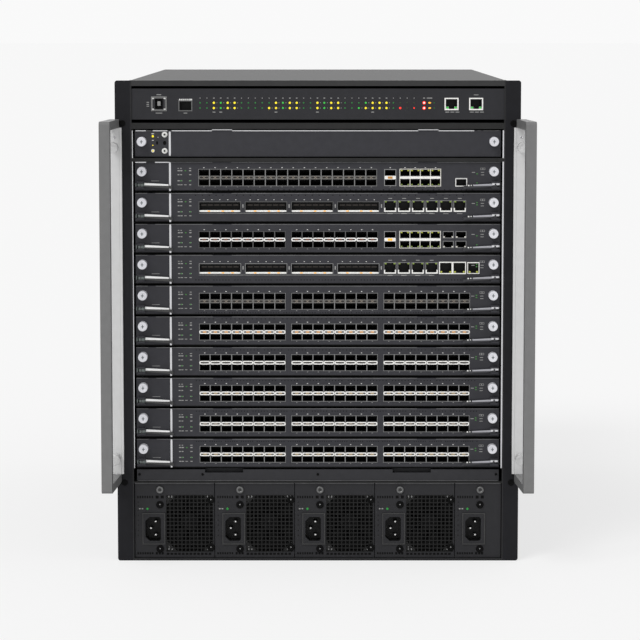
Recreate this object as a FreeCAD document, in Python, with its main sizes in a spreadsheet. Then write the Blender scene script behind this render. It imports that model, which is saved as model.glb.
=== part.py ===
# Modular chassis switch for a 19-inch rack, 13 units tall.
# Units are millimetres, +Z is up and the front faces -Y.
# The origin is the middle of the bounding box's footprint, on the surface the chassis stands on.
import FreeCAD, Part
import os

import Sketcher

Vector = FreeCAD.Vector
Rotation = FreeCAD.Rotation

SIZES = {
    # Shell: standard 19-inch ears on a sheet-metal box that passes the rack's 450 mm opening.
    "rack_width": 482.6,
    "rack_unit": 44.45,
    "rack_hole_spacing": 465.12,
    "rack_hole_radius": 3.3,
    "rack_hole_bottom": 95.25,
    "rack_hole_rise": 431.8,
    "body_width": 446.0,
    "body_depth": 762.0,
    "wall": 1.5,
    "base_sheet": 2.8,
    "cover_sheet": 1.6,
    "cover_lip": 6.5,
    "shelf_sheet": 1.6,
    "ear_sheet": 2.5,
    "ear_leg": 32.0,
    "ear_corner": 3.0,
    # Bays, from the bottom up.
    "slide_gap": 0.4,
    "power_height": 91.2,
    "tray_height": 14.0,
    "card_count": 10,
    "card_height": 35.0,
    "card_gap": 2.03,
    "cage_lip": 4.4,
    "bay_gap": 1.6,
    "manager_height": 31.3,
    "status_lip": 7.2,
    "status_gap": 4.0,
    "status_height": 36.6,
    "cover_gap": 3.15,
    # Exhaust slots of the back sheet, in two rows.
    "exhaust_columns": 6,
    "exhaust_pitch": 63.7,
    "exhaust_width": 12.7,
    "exhaust_bottom": 57.5,
    "exhaust_height": 172.5,
    "exhaust_rise": 287.5,
    # Backplane and the guides that carry the boards.
    "backplane_depth": 384.0,
    "backplane_sheet": 3.2,
    "guide_start": 18.0,
    "guide_reach": 10.0,
    "guide_lip": 2.6,
    "guide_groove": 6.0,
    # Boards and faceplates of the cards.
    "face_setback": 3.0,
    "face_sheet": 1.5,
    "face_return": 12.0,
    "card_side_gap": 3.65,
    "board_edge_gap": 7.5,
    "board_sheet": 1.6,
    "board_height": 5.0,
    "card_depth": 366.0,
    "connector_width": 110.0,
    "connector_height": 10.0,
    "connector_depth": 12.0,
    "connector_gap": 1.0,
    "sink_width": 62.0,
    "sink_height": 15.0,
    "sink_setback": 130.0,
    # Jack blocks: two rows of sockets over and under a bright strip.
    "jack_left": 141.4,
    "jack_pitch": 12.95,
    "jack_width": 11.3,
    "jack_height": 6.8,
    "jack_strip": 4.8,
    "jack_centre": 16.4,
    "jack_depth": 13.0,
    "jack_columns": 8,
    "jack_wall": 1.4,
    "jack_back": 3.0,
    "group_pitch": 110.4,
    "dense_pitch": 13.3,
    "uplink_left": 98.4,
    "uplink_pitch": 12.15,
    "uplink_width": 10.8,
    "combo_left": 79.9,
    "combo_width": 12.6,
    "small_left": 150.0,
    "small_pitch": 15.2,
    "small_width": 11.4,
    "bay_width": 48.9,
    "bay_pitch": 55.1,
    "bay_height": 10.8,
    "bay_bottom": 13.4,
    "single_left": 79.6,
    "single_pitch": 16.6,
    "single_width": 13.4,
    "single_height": 12.0,
    "single_bottom": 13.4,
    # Captive thumbscrews of the cards; every knurled head has the same number of flats.
    "knurl_sides": 10,
    "thumb_inset": 8.35,
    "thumb_radius": 5.4,
    "thumb_length": 10.5,
    "thumb_height": 23.9,
    # Ejector levers, each turning between two lugs.
    "pivot_inset": 6.4,
    "pivot_front": 3.5,
    "pivot_height": 7.8,
    "knuckle_radius": 3.2,
    "knuckle_sides": 8,
    "lever_height": 3.6,
    "lever_fit": 0.4,
    "lever_thickness": 2.6,
    "lever_reach": 38.0,
    "lever_drop": 2.8,
    "tip_height": 3.2,
    "tip_forward": 2.4,
    "tip_length": 2.6,
    "lug_sheet": 2.0,
    "lug_width": 9.0,
    "lug_front": 6.6,
    # Management blank with two sprung buttons.
    "manager_thumb": 18.0,
    "manager_board": 13.0,
    "button_inset": 35.5,
    "button_low": 6.8,
    "button_high": 26.2,
    "button_radius": 2.0,
    "button_fit": 0.3,
    "button_proud": 1.6,
    "button_flange": 3.0,
    "button_flange_sheet": 1.0,
    "button_tail": 5.6,
    "button_travel": 1.0,
    "switch_gap": 1.4,
    "switch_depth": 8.0,
    "switch_width": 9.0,
    # Status panel and its jacks, measured from the panel's lower edge and the middle of the chassis.
    "status_setback": 1.5,
    "status_return": 26.0,
    "service_left": 193.4,
    "service_width": 9.2,
    "service_height": 12.0,
    "service_bottom": 12.5,
    "console_left": 164.4,
    "console_width": 14.0,
    "console_height": 10.7,
    "console_bottom": 11.0,
    "network_left": 152.6,
    "network_pitch": 29.2,
    "network_width": 12.4,
    "network_height": 11.7,
    "network_bottom": 11.9,
    "status_jack_depth": 14.0,
    # Filter tray under the cards.
    "tray_depth": 360.0,
    "filter_sheet": 6.0,
    "finger_left": 90.0,
    "finger_width": 46.0,
    "finger_height": 4.0,
    "finger_depth": 9.0,
    # Power modules: four with a fan and a narrow one without.
    "power_pitch": 96.5,
    "power_gap": 0.8,
    "power_depth": 330.0,
    "power_sheet": 1.5,
    "bezel_left": 9.1,
    "bezel_bottom": 16.3,
    "bezel_width": 27.1,
    "bezel_height": 38.0,
    "bezel_proud": 1.2,
    "inlet_left": 12.5,
    "inlet_bottom": 20.5,
    "inlet_width": 18.8,
    "inlet_height": 29.2,
    "inlet_depth": 16.0,
    "inlet_chamfer": 5.0,
    "inlet_corner": 2.0,
    "blade_width": 2.0,
    "blade_height": 4.0,
    "blade_length": 11.0,
    "blade_pitch": 7.9,
    "blade_offset": 5.6,
    "power_screw_left": 30.2,
    "power_screw_height": 83.0,
    "power_screw_radius": 4.0,
    "power_screw_proud": 3.0,
    "fan_left": 38.1,
    "fan_bottom": 7.6,
    "fan_width": 55.7,
    "fan_height": 68.2,
    "fan_cavity": 30.0,
    "grille_columns": 4,
    "grille_rows": 5,
    "grille_bar": 1.2,
    # Fan rotor.
    "motor_radius": 9.0,
    "motor_gap": 0.4,
    "hub_sides": 14,
    "hub_radius": 10.0,
    "hub_length": 14.0,
    "hub_front": 7.0,
    "rotor_radius": 25.0,
    "rotor_blades": 7,
    "rotor_chord": 12.0,
    "rotor_sheet": 1.3,
    "rotor_pitch": 35.0,
    # Lifting handles on the ears.
    "handle_bottom": 96.0,
    "handle_length": 436.0,
    "handle_reach": 88.0,
    "handle_grip": 10.0,
    "handle_arm": 10.0,
    "handle_foot_width": 10.7,
    "handle_bar_width": 12.4,
    "handle_lean": 6.7,
    "handle_overhang": 5.7,
    "handle_corner": 4.0,
    "plate_sheet": 3.0,
    "knob_spacing": 371.5,
    "knob_radius": 6.0,
    "knob_head": 10.0,
    "knob_length": 36.0,
    "knob_shank": 3.6,
}


class Size:
    """A length that carries its number and the sheet expression it comes from."""

    def __init__(self, value, text):
        self.value = value
        self.text = text

    def __add__(self, other):
        return Size(self.value + number(other), f"({self.text} + {words(other)})")

    def __radd__(self, other):
        return self + other

    def __sub__(self, other):
        return Size(self.value - number(other), f"({self.text} - {words(other)})")

    def __rsub__(self, other):
        return Size(number(other) - self.value, f"({words(other)} - {self.text})")

    def __mul__(self, other):
        return Size(self.value * number(other), f"({self.text} * {words(other)})")

    def __rmul__(self, other):
        return self * other

    def __truediv__(self, other):
        return Size(self.value / number(other), f"({self.text} / {words(other)})")

    def __neg__(self):
        return self * -1


def number(quantity):
    return quantity.value if isinstance(quantity, Size) else quantity


def words(quantity):
    return quantity.text if isinstance(quantity, Size) else f"({quantity})"


class Sizes:
    """Every cell of the sheet as an attribute that can be used in sums."""

    def __init__(self, table):
        for alias, value in table.items():
            setattr(self, alias, Size(value, f"Sizes.{alias}"))


def fill_sheet(document):
    sheet = document.addObject("Spreadsheet::Sheet", "Sizes")
    for row, (alias, value) in enumerate(SIZES.items(), start=1):
        sheet.set(f"A{row}", alias)
        sheet.set(f"B{row}", str(value))
        sheet.setAlias(f"B{row}", alias)
    document.recompute()


doc = FreeCAD.newDocument("ChassisSwitch")
fill_sheet(doc)
s = Sizes(SIZES)

# Levels of the bays, stacked from the base up.
power_floor = s.base_sheet + s.slide_gap
power_shelf = power_floor + s.power_height + s.slide_gap
tray_floor = power_shelf + s.shelf_sheet + s.slide_gap
card_floor = tray_floor + s.tray_height + s.card_gap
card_pitch = s.card_height + s.card_gap
cage_floor = card_floor + card_pitch * s.card_count - s.card_gap + s.slide_gap
manager_floor = cage_floor + s.cage_lip + s.bay_gap
status_shelf = manager_floor + s.manager_height + s.bay_gap
status_floor = status_shelf + s.status_lip + s.status_gap
cover_floor = status_floor + s.status_height + s.cover_gap
height = cover_floor + s.cover_lip

# Shared half widths and depths.
outer_half = s.body_width / 2
inner_half = outer_half - s.wall
card_half = inner_half - s.card_side_gap
board_half = inner_half - s.board_edge_gap
front = (s.handle_reach - s.body_depth) / 2
rack_half = s.rack_width / 2
plate_inner = rack_half + s.handle_overhang - s.handle_foot_width


def bind(target, path, quantity):
    """Tie a property to the sheet, and give it its number at once."""
    if isinstance(quantity, Size):
        target.setExpression(path, quantity.text)
    else:
        target.setExpression(path, f"{quantity}")


def new_body(label, x=0, y=0, z=0):
    """A body whose own frame stands at (x, y, z), with y counted back from the ears' front."""
    body = doc.addObject("PartDesign::Body", label)
    body.Label = label
    bind(body, "Placement.Base.x", x)
    bind(body, "Placement.Base.y", front + y)
    bind(body, "Placement.Base.z", z)
    return body


def origin(body, role):
    return next(item for item in body.Origin.OriginFeatures if item.Role == role)


def block(body, name, x, y, z, cut=False):
    """A rectangular block, or a cut of that shape, between pairs of sizes."""
    kind = "PartDesign::SubtractiveBox" if cut else "PartDesign::AdditiveBox"
    box = body.newObject(kind, name)
    for side, (low, high) in zip(("Length", "Width", "Height"), (x, y, z)):
        bind(box, side, high - low)
    for axis, (low, _) in zip("xyz", (x, y, z)):
        bind(box, f"Placement.Base.{axis}", low)
    return box


def round_hole(body, name, radius, x, z, length):
    """A round hole along +Y from the front of the body's frame."""
    hole = body.newObject("PartDesign::SubtractiveCylinder", name)
    hole.Placement = FreeCAD.Placement(Vector(), Rotation(Vector(1, 0, 0), -90))
    bind(hole, "Radius", radius)
    bind(hole, "Height", length)
    bind(hole, "Placement.Base.x", x)
    bind(hole, "Placement.Base.z", z)
    return hole


def prism(body, name, sides, radius, x, y, z, along, length, cut=False):
    """A many-sided stud or hole, such as a knurled head, from (x, y, z) along +Y or +Z."""
    kind = "PartDesign::SubtractivePrism" if cut else "PartDesign::AdditivePrism"
    stud = body.newObject(kind, name)
    if along == "Y":
        stud.Placement = FreeCAD.Placement(Vector(), Rotation(Vector(1, 0, 0), -90))
    bind(stud, "Polygon", sides)
    bind(stud, "Circumradius", radius)
    bind(stud, "Height", length)
    for axis, value in zip("xyz", (x, y, z)):
        bind(stud, f"Placement.Base.{axis}", value)
    return stud


def outline(body, plane, name, corners, offset=0):
    """A closed sketch with straight sides, each corner held by its two distances."""
    sketch = body.newObject("Sketcher::SketchObject", name)
    sketch.AttachmentSupport = (origin(body, plane), "")
    sketch.MapMode = "FlatFace"
    bind(sketch, "AttachmentOffset.Base.z", offset)
    points = [Vector(number(across), number(up), 0) for across, up in corners]
    for start, end in zip(points, points[1:] + points[:1]):
        sketch.addGeometry(Part.LineSegment(start, end), False)
    count = len(points)
    for index, corner in enumerate(corners):
        after = (index + 1) % count
        sketch.addConstraint(Sketcher.Constraint("Coincident", index, 2, after, 1))
        for kind, distance in zip(("DistanceX", "DistanceY"), corner):
            rule = Sketcher.Constraint(kind, -1, 1, index, 1, float(number(distance)))
            place = sketch.addConstraint(rule)
            if isinstance(distance, Size):
                sketch.setExpression(f"Constraints[{place}]", distance.text)
    return sketch


def sweep_outline(body, kind, sketch, length, symmetric=False, backward=False):
    """Pad or pocket a sketch by a length."""
    feature = body.newObject(f"PartDesign::{kind}", sketch.Name + kind)
    feature.Profile = sketch
    bind(feature, "Length", length)
    feature.Midplane = symmetric
    feature.Reversed = backward
    return feature


def repeat(body, features, across, spacing, count, up=None, rise=0, rows=1):
    """Copy features in a row, or in rows and columns when a second direction is given."""
    pattern = body.newObject("PartDesign::LinearPattern", features[0].Name + "Row")
    pattern.Originals = features
    pattern.Direction = (origin(body, across), [""])
    pattern.Mode = "Spacing"
    bind(pattern, "Offset", spacing)
    bind(pattern, "Occurrences", count)
    if up is not None:
        pattern.Direction2 = (origin(body, up), [""])
        pattern.Mode2 = "Spacing"
        bind(pattern, "Offset2", rise)
        bind(pattern, "Occurrences2", rows)
        pattern.Occurrences2 = int(number(rows))
        pattern.Spacings2 = [-1.0] * (int(number(rows)) - 1)
    body.Tip = pattern
    return pattern


def round_edges(body, radius, wanted):
    """Fillet the edges of the tip that a test picks."""
    doc.recompute()
    base = body.Tip
    names = [f"Edge{i}" for i, edge in enumerate(base.Shape.Edges, start=1) if wanted(edge)]
    fillet = body.newObject("PartDesign::Fillet", base.Name + "Rounded")
    fillet.Base = (base, names)
    bind(fillet, "Radius", radius)
    return fillet


def runs_along(edge, axis):
    """True for a straight edge parallel to one of the axes."""
    if len(edge.Vertexes) != 2:
        return False
    step = edge.Vertexes[1].Point - edge.Vertexes[0].Point
    return abs(abs(step.normalize() * axis) - 1) < 1e-6


def near(first, second):
    return abs(first - number(second)) < 0.01


# Shell -----------------------------------------------------------------------------------------


def board_guide(body, side, board):
    """Grooved rail that carries one edge of a board."""
    reach = side * (inner_half - s.guide_reach)
    floor = side * (inner_half - s.guide_reach + s.guide_groove)
    low = board - s.slide_gap
    high = board + s.board_sheet + s.slide_gap
    profile = [
        (side * inner_half, low - s.guide_lip),
        (reach, low - s.guide_lip),
        (reach, low),
        (floor, low),
        (floor, high),
        (reach, high),
        (reach, high + s.guide_lip),
        (side * inner_half, high + s.guide_lip),
    ]
    sketch = outline(body, "XZ_Plane", "Guide", profile, -s.guide_start)
    return sweep_outline(body, "Pad", sketch, s.backplane_depth - s.guide_start, backward=True)


def side_wall(label, side):
    """Side sheet with a guide for every board and vent slots between the guides."""
    body = new_body(label)
    edges = sorted((side * inner_half, side * outer_half), key=number)
    block(body, "Sheet", edges, (0, s.body_depth), (0, height))
    board_guide(body, side, manager_floor + s.manager_board)
    guide = board_guide(body, side, card_floor + s.board_height)
    repeat(body, [guide], "Z_Axis", card_pitch, s.card_count)
    vent_low = card_floor + s.card_height / 2
    slot = block(body, "Vent", edges, (s.ear_leg * 2, s.backplane_depth - s.ear_leg),
                 (vent_low, vent_low + s.card_height / 4), cut=True)
    repeat(body, [slot], "Z_Axis", card_pitch * 2, s.card_count / 2)
    return body


def base_pan():
    body = new_body("base_pan")
    block(body, "Sheet", (-inner_half, inner_half), (0, s.body_depth), (0, s.base_sheet))
    return body


def plain_shelf(label, low):
    """A level sheet across the chassis, with nothing folded."""
    body = new_body(label)
    across = (-inner_half, inner_half)
    block(body, "Sheet", across, (0, s.backplane_depth), (low, low + s.shelf_sheet))
    return body


def folded_sheet(label, lip_low, lip_high, sheet, start, end):
    """A level sheet across the chassis with its front edge folded down."""
    body = new_body(label)
    profile = [
        (start, lip_low),
        (start + sheet, lip_low),
        (start + sheet, lip_high - sheet),
        (end, lip_high - sheet),
        (end, lip_high),
        (start, lip_high),
    ]
    sketch = outline(body, "YZ_Plane", "Fold", profile)
    sweep_outline(body, "Pad", sketch, inner_half * 2, symmetric=True)
    return body


def rear_panel():
    """Back sheet with two rows of upright exhaust slots."""
    body = new_body("rear_panel")
    back = (s.body_depth - s.wall, s.body_depth)
    block(body, "Sheet", (-inner_half, inner_half), back, (s.base_sheet, height - s.cover_sheet))
    left = s.exhaust_pitch * (1 - s.exhaust_columns) / 2 - s.exhaust_width / 2
    low = s.exhaust_bottom
    slot = block(body, "Exhaust", (left, left + s.exhaust_width), back, (low, low + s.exhaust_height),
                 cut=True)
    repeat(body, [slot], "X_Axis", s.exhaust_pitch, s.exhaust_columns, "Z_Axis", s.exhaust_rise, 2)
    return body


def backplane():
    """Board behind the cards with a connector for each."""
    body = new_body("backplane")
    depth = (s.backplane_depth, s.backplane_depth + s.backplane_sheet)
    block(body, "Board", (-inner_half, inner_half), depth, (power_shelf, height - s.cover_sheet))
    low = card_floor + s.board_height + s.board_sheet
    reach = s.face_setback + s.card_depth + s.connector_gap
    plug = block(body, "Connector", (-s.connector_width / 2, s.connector_width / 2),
                 (reach, s.backplane_depth), (low, low + s.connector_height))
    repeat(body, [plug], "Z_Axis", card_pitch, s.card_count)
    low = manager_floor + s.manager_board + s.board_sheet
    block(body, "ManagerConnector", (-s.connector_width / 2, s.connector_width / 2),
          (reach, s.backplane_depth), (low, low + s.connector_height))
    return body


def rack_ear(label, side):
    """Angle with a rounded flange, slotted for the rack's screws, and a leg on the side wall."""
    body = new_body(label)
    profile = [
        (side * outer_half, 0),
        (side * rack_half, 0),
        (side * rack_half, s.ear_sheet),
        (side * (outer_half + s.wall), s.ear_sheet),
        (side * (outer_half + s.wall), s.ear_leg),
        (side * outer_half, s.ear_leg),
    ]
    sketch = outline(body, "XY_Plane", "Angle", profile)
    sweep_outline(body, "Pad", sketch, height)
    hole = round_hole(body, "RackHole", s.rack_hole_radius, side * s.rack_hole_spacing / 2,
                      s.rack_hole_bottom, s.ear_sheet)
    repeat(body, [hole], "Z_Axis", s.rack_hole_rise, 2)
    outer = abs(number(rack_half))
    round_edges(body, s.ear_corner, lambda edge: runs_along(edge, Vector(0, 1, 0))
                and near(abs(edge.CenterOfMass.x), outer))
    return body


# Handles ---------------------------------------------------------------------------------------


def handle(label, side):
    """Grip on two arms that lean outward from the ear, cut from one bar with a finger window."""
    body = new_body(label, z=s.handle_bottom)
    foot = plate_inner + s.handle_foot_width
    profile = [
        (side * plate_inner, 0),
        (side * foot, 0),
        (side * (foot + s.handle_lean), -s.handle_reach),
        (side * (foot + s.handle_lean - s.handle_bar_width), -s.handle_reach),
    ]
    sketch = outline(body, "XY_Plane", "Plan", profile)
    sweep_outline(body, "Pad", sketch, s.handle_length)
    window = [
        (-s.handle_reach + s.handle_grip, s.handle_arm),
        (0, s.handle_arm),
        (0, s.handle_length - s.handle_arm),
        (-s.handle_reach + s.handle_grip, s.handle_length - s.handle_arm),
    ]
    sketch = outline(body, "YZ_Plane", "Window", window)
    sweep_outline(body, "Pocket", sketch, s.rack_width * 2, symmetric=True)
    reach = number(s.handle_reach)
    round_edges(body, s.handle_corner, lambda edge: near(edge.CenterOfMass.y, -reach)
                and not runs_along(edge, Vector(0, 0, 1)))
    return body


def handle_plate(label, side):
    """Bright strip between the handle's arms, screwed to the ear."""
    body = new_body(label, z=s.handle_bottom + s.handle_arm)
    across = sorted((side * plate_inner, side * (plate_inner + s.handle_foot_width)), key=number)
    tall = s.handle_length - s.handle_arm * 2
    block(body, "Strip", across, (-s.plate_sheet, 0), (0, tall))
    return body


def handle_screws():
    """Four long captive screws with knurled heads."""
    body = new_body("handle_screws", z=s.handle_bottom + s.handle_length / 2)
    centre = plate_inner + s.handle_foot_width / 2
    neck = s.knob_length - s.knob_head
    for side in (-1, 1):
        for end in (-1, 1):
            level = s.knob_spacing / 2 * end
            prism(body, "Shank", s.knurl_sides, s.knob_shank, centre * side, -s.plate_sheet - neck,
                  level, "Y", neck)
            prism(body, "Head", s.knurl_sides, s.knob_radius, centre * side,
                  -s.plate_sheet - s.knob_length, level, "Y", s.knob_head)
    return body


# Status panel ----------------------------------------------------------------------------------


def face_profile(tall, depth):
    """Section of a faceplate: a sheet with its top and bottom edges returned."""
    sheet = s.face_sheet
    return [
        (0, 0),
        (depth, 0),
        (depth, sheet),
        (sheet, sheet),
        (sheet, tall - sheet),
        (depth, tall - sheet),
        (depth, tall),
        (0, tall),
    ]


def jack(body, name, left, bottom, width, tall, depth):
    """A socket cut into a housing that stands behind the faceplate."""
    wall = s.jack_wall
    block(body, name + "Housing", (left - wall, left + width + wall),
          (s.face_sheet, depth + s.jack_back), (bottom - wall, bottom + tall + wall))
    return block(body, name, (left, left + width), (0, depth), (bottom, bottom + tall), cut=True)


def status_panel():
    """Fixed panel with a square service jack, a console jack and two network jacks."""
    body = new_body("status_panel", y=s.status_setback, z=status_floor)
    sketch = outline(body, "YZ_Plane", "Face", face_profile(s.status_height, s.status_return))
    sweep_outline(body, "Pad", sketch, inner_half * 2, symmetric=True)
    deep = s.status_jack_depth
    jack(body, "Service", -s.service_left, s.service_bottom, s.service_width, s.service_height, deep)
    jack(body, "Console", -s.console_left, s.console_bottom, s.console_width, s.console_height, deep)
    for index in range(2):
        left = s.network_left + s.network_pitch * index
        jack(body, f"Network{index}", left, s.network_bottom, s.network_width, s.network_height, deep)
    return body


# Line cards ------------------------------------------------------------------------------------


def card_blank(label, tall, level, thumb, board):
    """Faceplate, board, rear connector, heat sink and two thumbscrews, in the card's own frame."""
    body = new_body(label, y=s.face_setback, z=level)
    sketch = outline(body, "YZ_Plane", "Face", face_profile(tall, s.face_return))
    sweep_outline(body, "Pad", sketch, card_half * 2, symmetric=True)
    top = board + s.board_sheet
    block(body, "Board", (-board_half, board_half), (s.face_sheet, s.card_depth), (board, top))
    block(body, "Plug", (-s.connector_width / 2, s.connector_width / 2),
          (s.card_depth - s.connector_depth, s.card_depth), (top, top + s.connector_height))
    block(body, "HeatSink", (-s.sink_width / 2, s.sink_width / 2),
          (s.sink_setback, s.sink_setback + s.sink_width), (top, top + s.sink_height))
    for side in (-1, 1):
        prism(body, "Thumbscrew", s.knurl_sides, s.thumb_radius, side * (card_half - s.thumb_inset),
              -s.thumb_length, thumb, "Y", s.thumb_length + s.face_sheet)
    return body


def lever_lugs(body):
    """Two lugs at each end of a card, with the ejector's knuckle turning between them."""
    gap = s.lever_height / 2 + s.lever_fit
    for side in (-1, 1):
        centre = side * (card_half - s.pivot_inset)
        across = (centre - s.lug_width / 2, centre + s.lug_width / 2)
        deep = (-s.lug_front, s.face_sheet)
        block(body, "LowerLug", across, deep, (s.pivot_height - gap - s.lug_sheet, s.pivot_height - gap))
        block(body, "UpperLug", across, deep, (s.pivot_height + gap, s.pivot_height + gap + s.lug_sheet))


def socket(body, name, left, low, width, tall):
    """One jack opening: a level floor and a contact ramp that falls to it at the back."""
    ramp = [(0, low), (s.jack_depth, low), (0, low + tall)]
    sketch = outline(body, "YZ_Plane", name + "Ramp", ramp, left)
    return sweep_outline(body, "Pocket", sketch, width, backward=True)


def jack_rows(body, name, left, columns, pitch, width):
    """A ganged block of sockets in two rows."""
    tall = s.jack_height * 2 + s.jack_strip
    low = s.jack_centre - tall / 2
    right = left + pitch * (columns - 1) + width
    wall = s.jack_wall
    block(body, name + "Housing", (left - wall, right + wall), (s.face_sheet, s.jack_depth + s.jack_back),
          (low - wall, low + tall + wall))
    port = socket(body, name, left, low, width, s.jack_height)
    repeat(body, [port], "X_Axis", pitch, columns, "Z_Axis", s.jack_height + s.jack_strip, 2)


def single_row(body, name, left, bottom, width, tall, count, pitch):
    """A row of separate openings at one height."""
    wall = s.jack_wall
    right = left + pitch * (count - 1) + width
    block(body, name + "Housing", (left - wall, right + wall), (s.face_sheet, s.jack_depth + s.jack_back),
          (bottom - wall, bottom + tall + wall))
    port = block(body, name, (left, left + width), (0, s.jack_depth), (bottom, bottom + tall), cut=True)
    repeat(body, [port], "X_Axis", pitch, count)


def full_face(body):
    """Three groups of sixteen jacks."""
    for group in range(3):
        left = s.group_pitch * group - s.jack_left
        jack_rows(body, f"Group{group}", left, s.jack_columns, s.jack_pitch, s.jack_width)


def uplink_jacks(body):
    """A stacked pair and a block of eight at the right of a mixed card."""
    jack_rows(body, "Combo", s.combo_left, 1, s.jack_pitch, s.combo_width)
    jack_rows(body, "Uplink", s.uplink_left, 4, s.uplink_pitch, s.uplink_width)


def dense_face(body):
    """Thirty-two jacks in one run, then the uplinks and a single socket."""
    jack_rows(body, "Run", -s.jack_left, s.jack_columns * 2, s.dense_pitch, s.jack_width)
    uplink_jacks(body)
    low = s.jack_centre - s.jack_strip / 2 - s.jack_height
    single_row(body, "Single", s.small_left + s.small_pitch, low, s.small_width, s.jack_height, 1,
               s.small_pitch)


def mixed_face(body):
    """Two groups of sixteen, the uplinks and four small sockets."""
    for group in range(2):
        left = s.group_pitch * group - s.jack_left
        jack_rows(body, f"Group{group}", left, s.jack_columns, s.jack_pitch, s.jack_width)
    uplink_jacks(body)
    jack_rows(body, "Small", s.small_left, 2, s.small_pitch, s.small_width)


def bay_face(body, singles):
    """Four wide module bays and a row of single jacks."""
    single_row(body, "Bay", -s.jack_left, s.bay_bottom, s.bay_width, s.bay_height, 4, s.bay_pitch)
    single_row(body, "Jack", s.single_left, s.single_bottom, s.single_width, s.single_height, singles,
               s.single_pitch)


def line_card(slot):
    """The card in one slot, counted from the top; the first four have faces of their own."""
    level = card_floor + card_pitch * (s.card_count - 1 - slot)
    body = card_blank(f"line_card_{slot + 1:02d}", s.card_height, level, s.thumb_height,
                      s.board_height)
    lever_lugs(body)
    if slot == 0:
        dense_face(body)
    elif slot == 1:
        bay_face(body, 6)
    elif slot == 2:
        mixed_face(body)
    elif slot == 3:
        bay_face(body, 7)
    else:
        full_face(body)
    return level


def ejector(label, side, level):
    """Lever with a knuckle at its root, a falling bar and a turned-out fingertip."""
    body = new_body(label, x=side * (card_half - s.pivot_inset), y=s.face_setback - s.pivot_front,
                    z=level + s.pivot_height)
    half = s.lever_height / 2
    prism(body, "Knuckle", s.knuckle_sides, s.knuckle_radius, 0, 0, -half, "Z", s.lever_height)
    inward = -side
    bar = [
        (0, -half),
        (inward * s.lever_reach, -half - s.lever_drop),
        (inward * s.lever_reach, -half - s.lever_drop + s.tip_height),
        (0, half),
    ]
    sketch = outline(body, "XZ_Plane", "Bar", bar, s.lever_thickness / 2)
    sweep_outline(body, "Pad", sketch, s.lever_thickness, backward=True)
    tip = sorted((inward * s.lever_reach, inward * (s.lever_reach - s.tip_length)), key=number)
    block(body, "Fingertip", tip, (-s.lever_thickness / 2 - s.tip_forward, s.lever_thickness / 2),
          (-half - s.lever_drop, -half - s.lever_drop + s.tip_height))
    return body


# Management blank ------------------------------------------------------------------------------


def management_module():
    """Blank with thumbscrews, two button holes and their switches."""
    body = card_blank("management_module", s.manager_height, manager_floor, s.manager_thumb,
                      s.manager_board)
    across = -(card_half - s.button_inset)
    stop = s.button_tail + s.switch_gap
    wide = (across - s.switch_width / 2, across + s.switch_width / 2)
    block(body, "Switches", wide, (stop, stop + s.switch_depth),
          (s.button_low - s.button_flange, s.button_high + s.button_flange))
    for name, level in (("Low", s.button_low), ("High", s.button_high)):
        prism(body, name + "Hole", s.knurl_sides, s.button_radius + s.button_fit, across, 0, level, "Y",
              s.face_sheet, cut=True)
    return body


def button(label, level):
    """Sprung cap with a flange that stays behind the faceplate."""
    body = new_body(label, x=-(card_half - s.button_inset), y=s.face_setback, z=manager_floor + level)
    prism(body, "Cap", s.knurl_sides, s.button_radius, 0, -s.button_proud, 0, "Y",
          s.button_tail + s.button_proud)
    prism(body, "Flange", s.knurl_sides, s.button_flange, 0, s.face_sheet + s.button_fit, 0, "Y",
          s.button_flange_sheet)
    return body


# Filter tray -----------------------------------------------------------------------------------


def filter_tray():
    """Long drawer front with two finger slots and the filter bed behind it."""
    body = new_body("filter_tray", y=s.face_setback, z=tray_floor)
    profile = [
        (0, 0),
        (s.tray_depth, 0),
        (s.tray_depth, s.filter_sheet),
        (s.finger_depth * 2, s.filter_sheet),
        (s.finger_depth * 2, s.tray_height),
        (0, s.tray_height),
    ]
    sketch = outline(body, "YZ_Plane", "Section", profile)
    sweep_outline(body, "Pad", sketch, card_half * 2, symmetric=True)
    for side in (-1, 1):
        across = sorted((side * s.finger_left, side * (s.finger_left + s.finger_width)), key=number)
        block(body, "Finger", across, (0, s.finger_depth),
              (s.tray_height - s.finger_height, s.tray_height), cut=True)
    return body


# Power modules ---------------------------------------------------------------------------------


def mains_inlet(body):
    """Raised bezel round a chamfered recess with three blades."""
    block(body, "Bezel", (s.bezel_left, s.bezel_left + s.bezel_width), (-s.bezel_proud, s.power_sheet),
          (s.bezel_bottom, s.bezel_bottom + s.bezel_height))
    left = s.inlet_left
    right = left + s.inlet_width
    low = s.inlet_bottom
    high = low + s.inlet_height
    chamfer = s.inlet_chamfer
    corner = s.inlet_corner
    recess = [
        (left + chamfer, low),
        (right - corner, low),
        (right, low + corner),
        (right, high - corner),
        (right - corner, high),
        (left + chamfer, high),
        (left, high - chamfer),
        (left, low + chamfer),
    ]
    sketch = outline(body, "XZ_Plane", "Recess", recess, s.bezel_proud)
    sweep_outline(body, "Pocket", sketch, s.bezel_proud + s.inlet_depth)
    for row in (-1, 0, 1):
        across = left + s.inlet_width / 2 + (s.blade_offset / 2 if row else -s.blade_offset / 2)
        level = low + s.inlet_height / 2 + s.blade_pitch * row
        block(body, "Blade", (across - s.blade_height / 2, across + s.blade_height / 2),
              (s.inlet_depth - s.blade_length, s.inlet_depth),
              (level - s.blade_width / 2, level + s.blade_width / 2))


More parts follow.
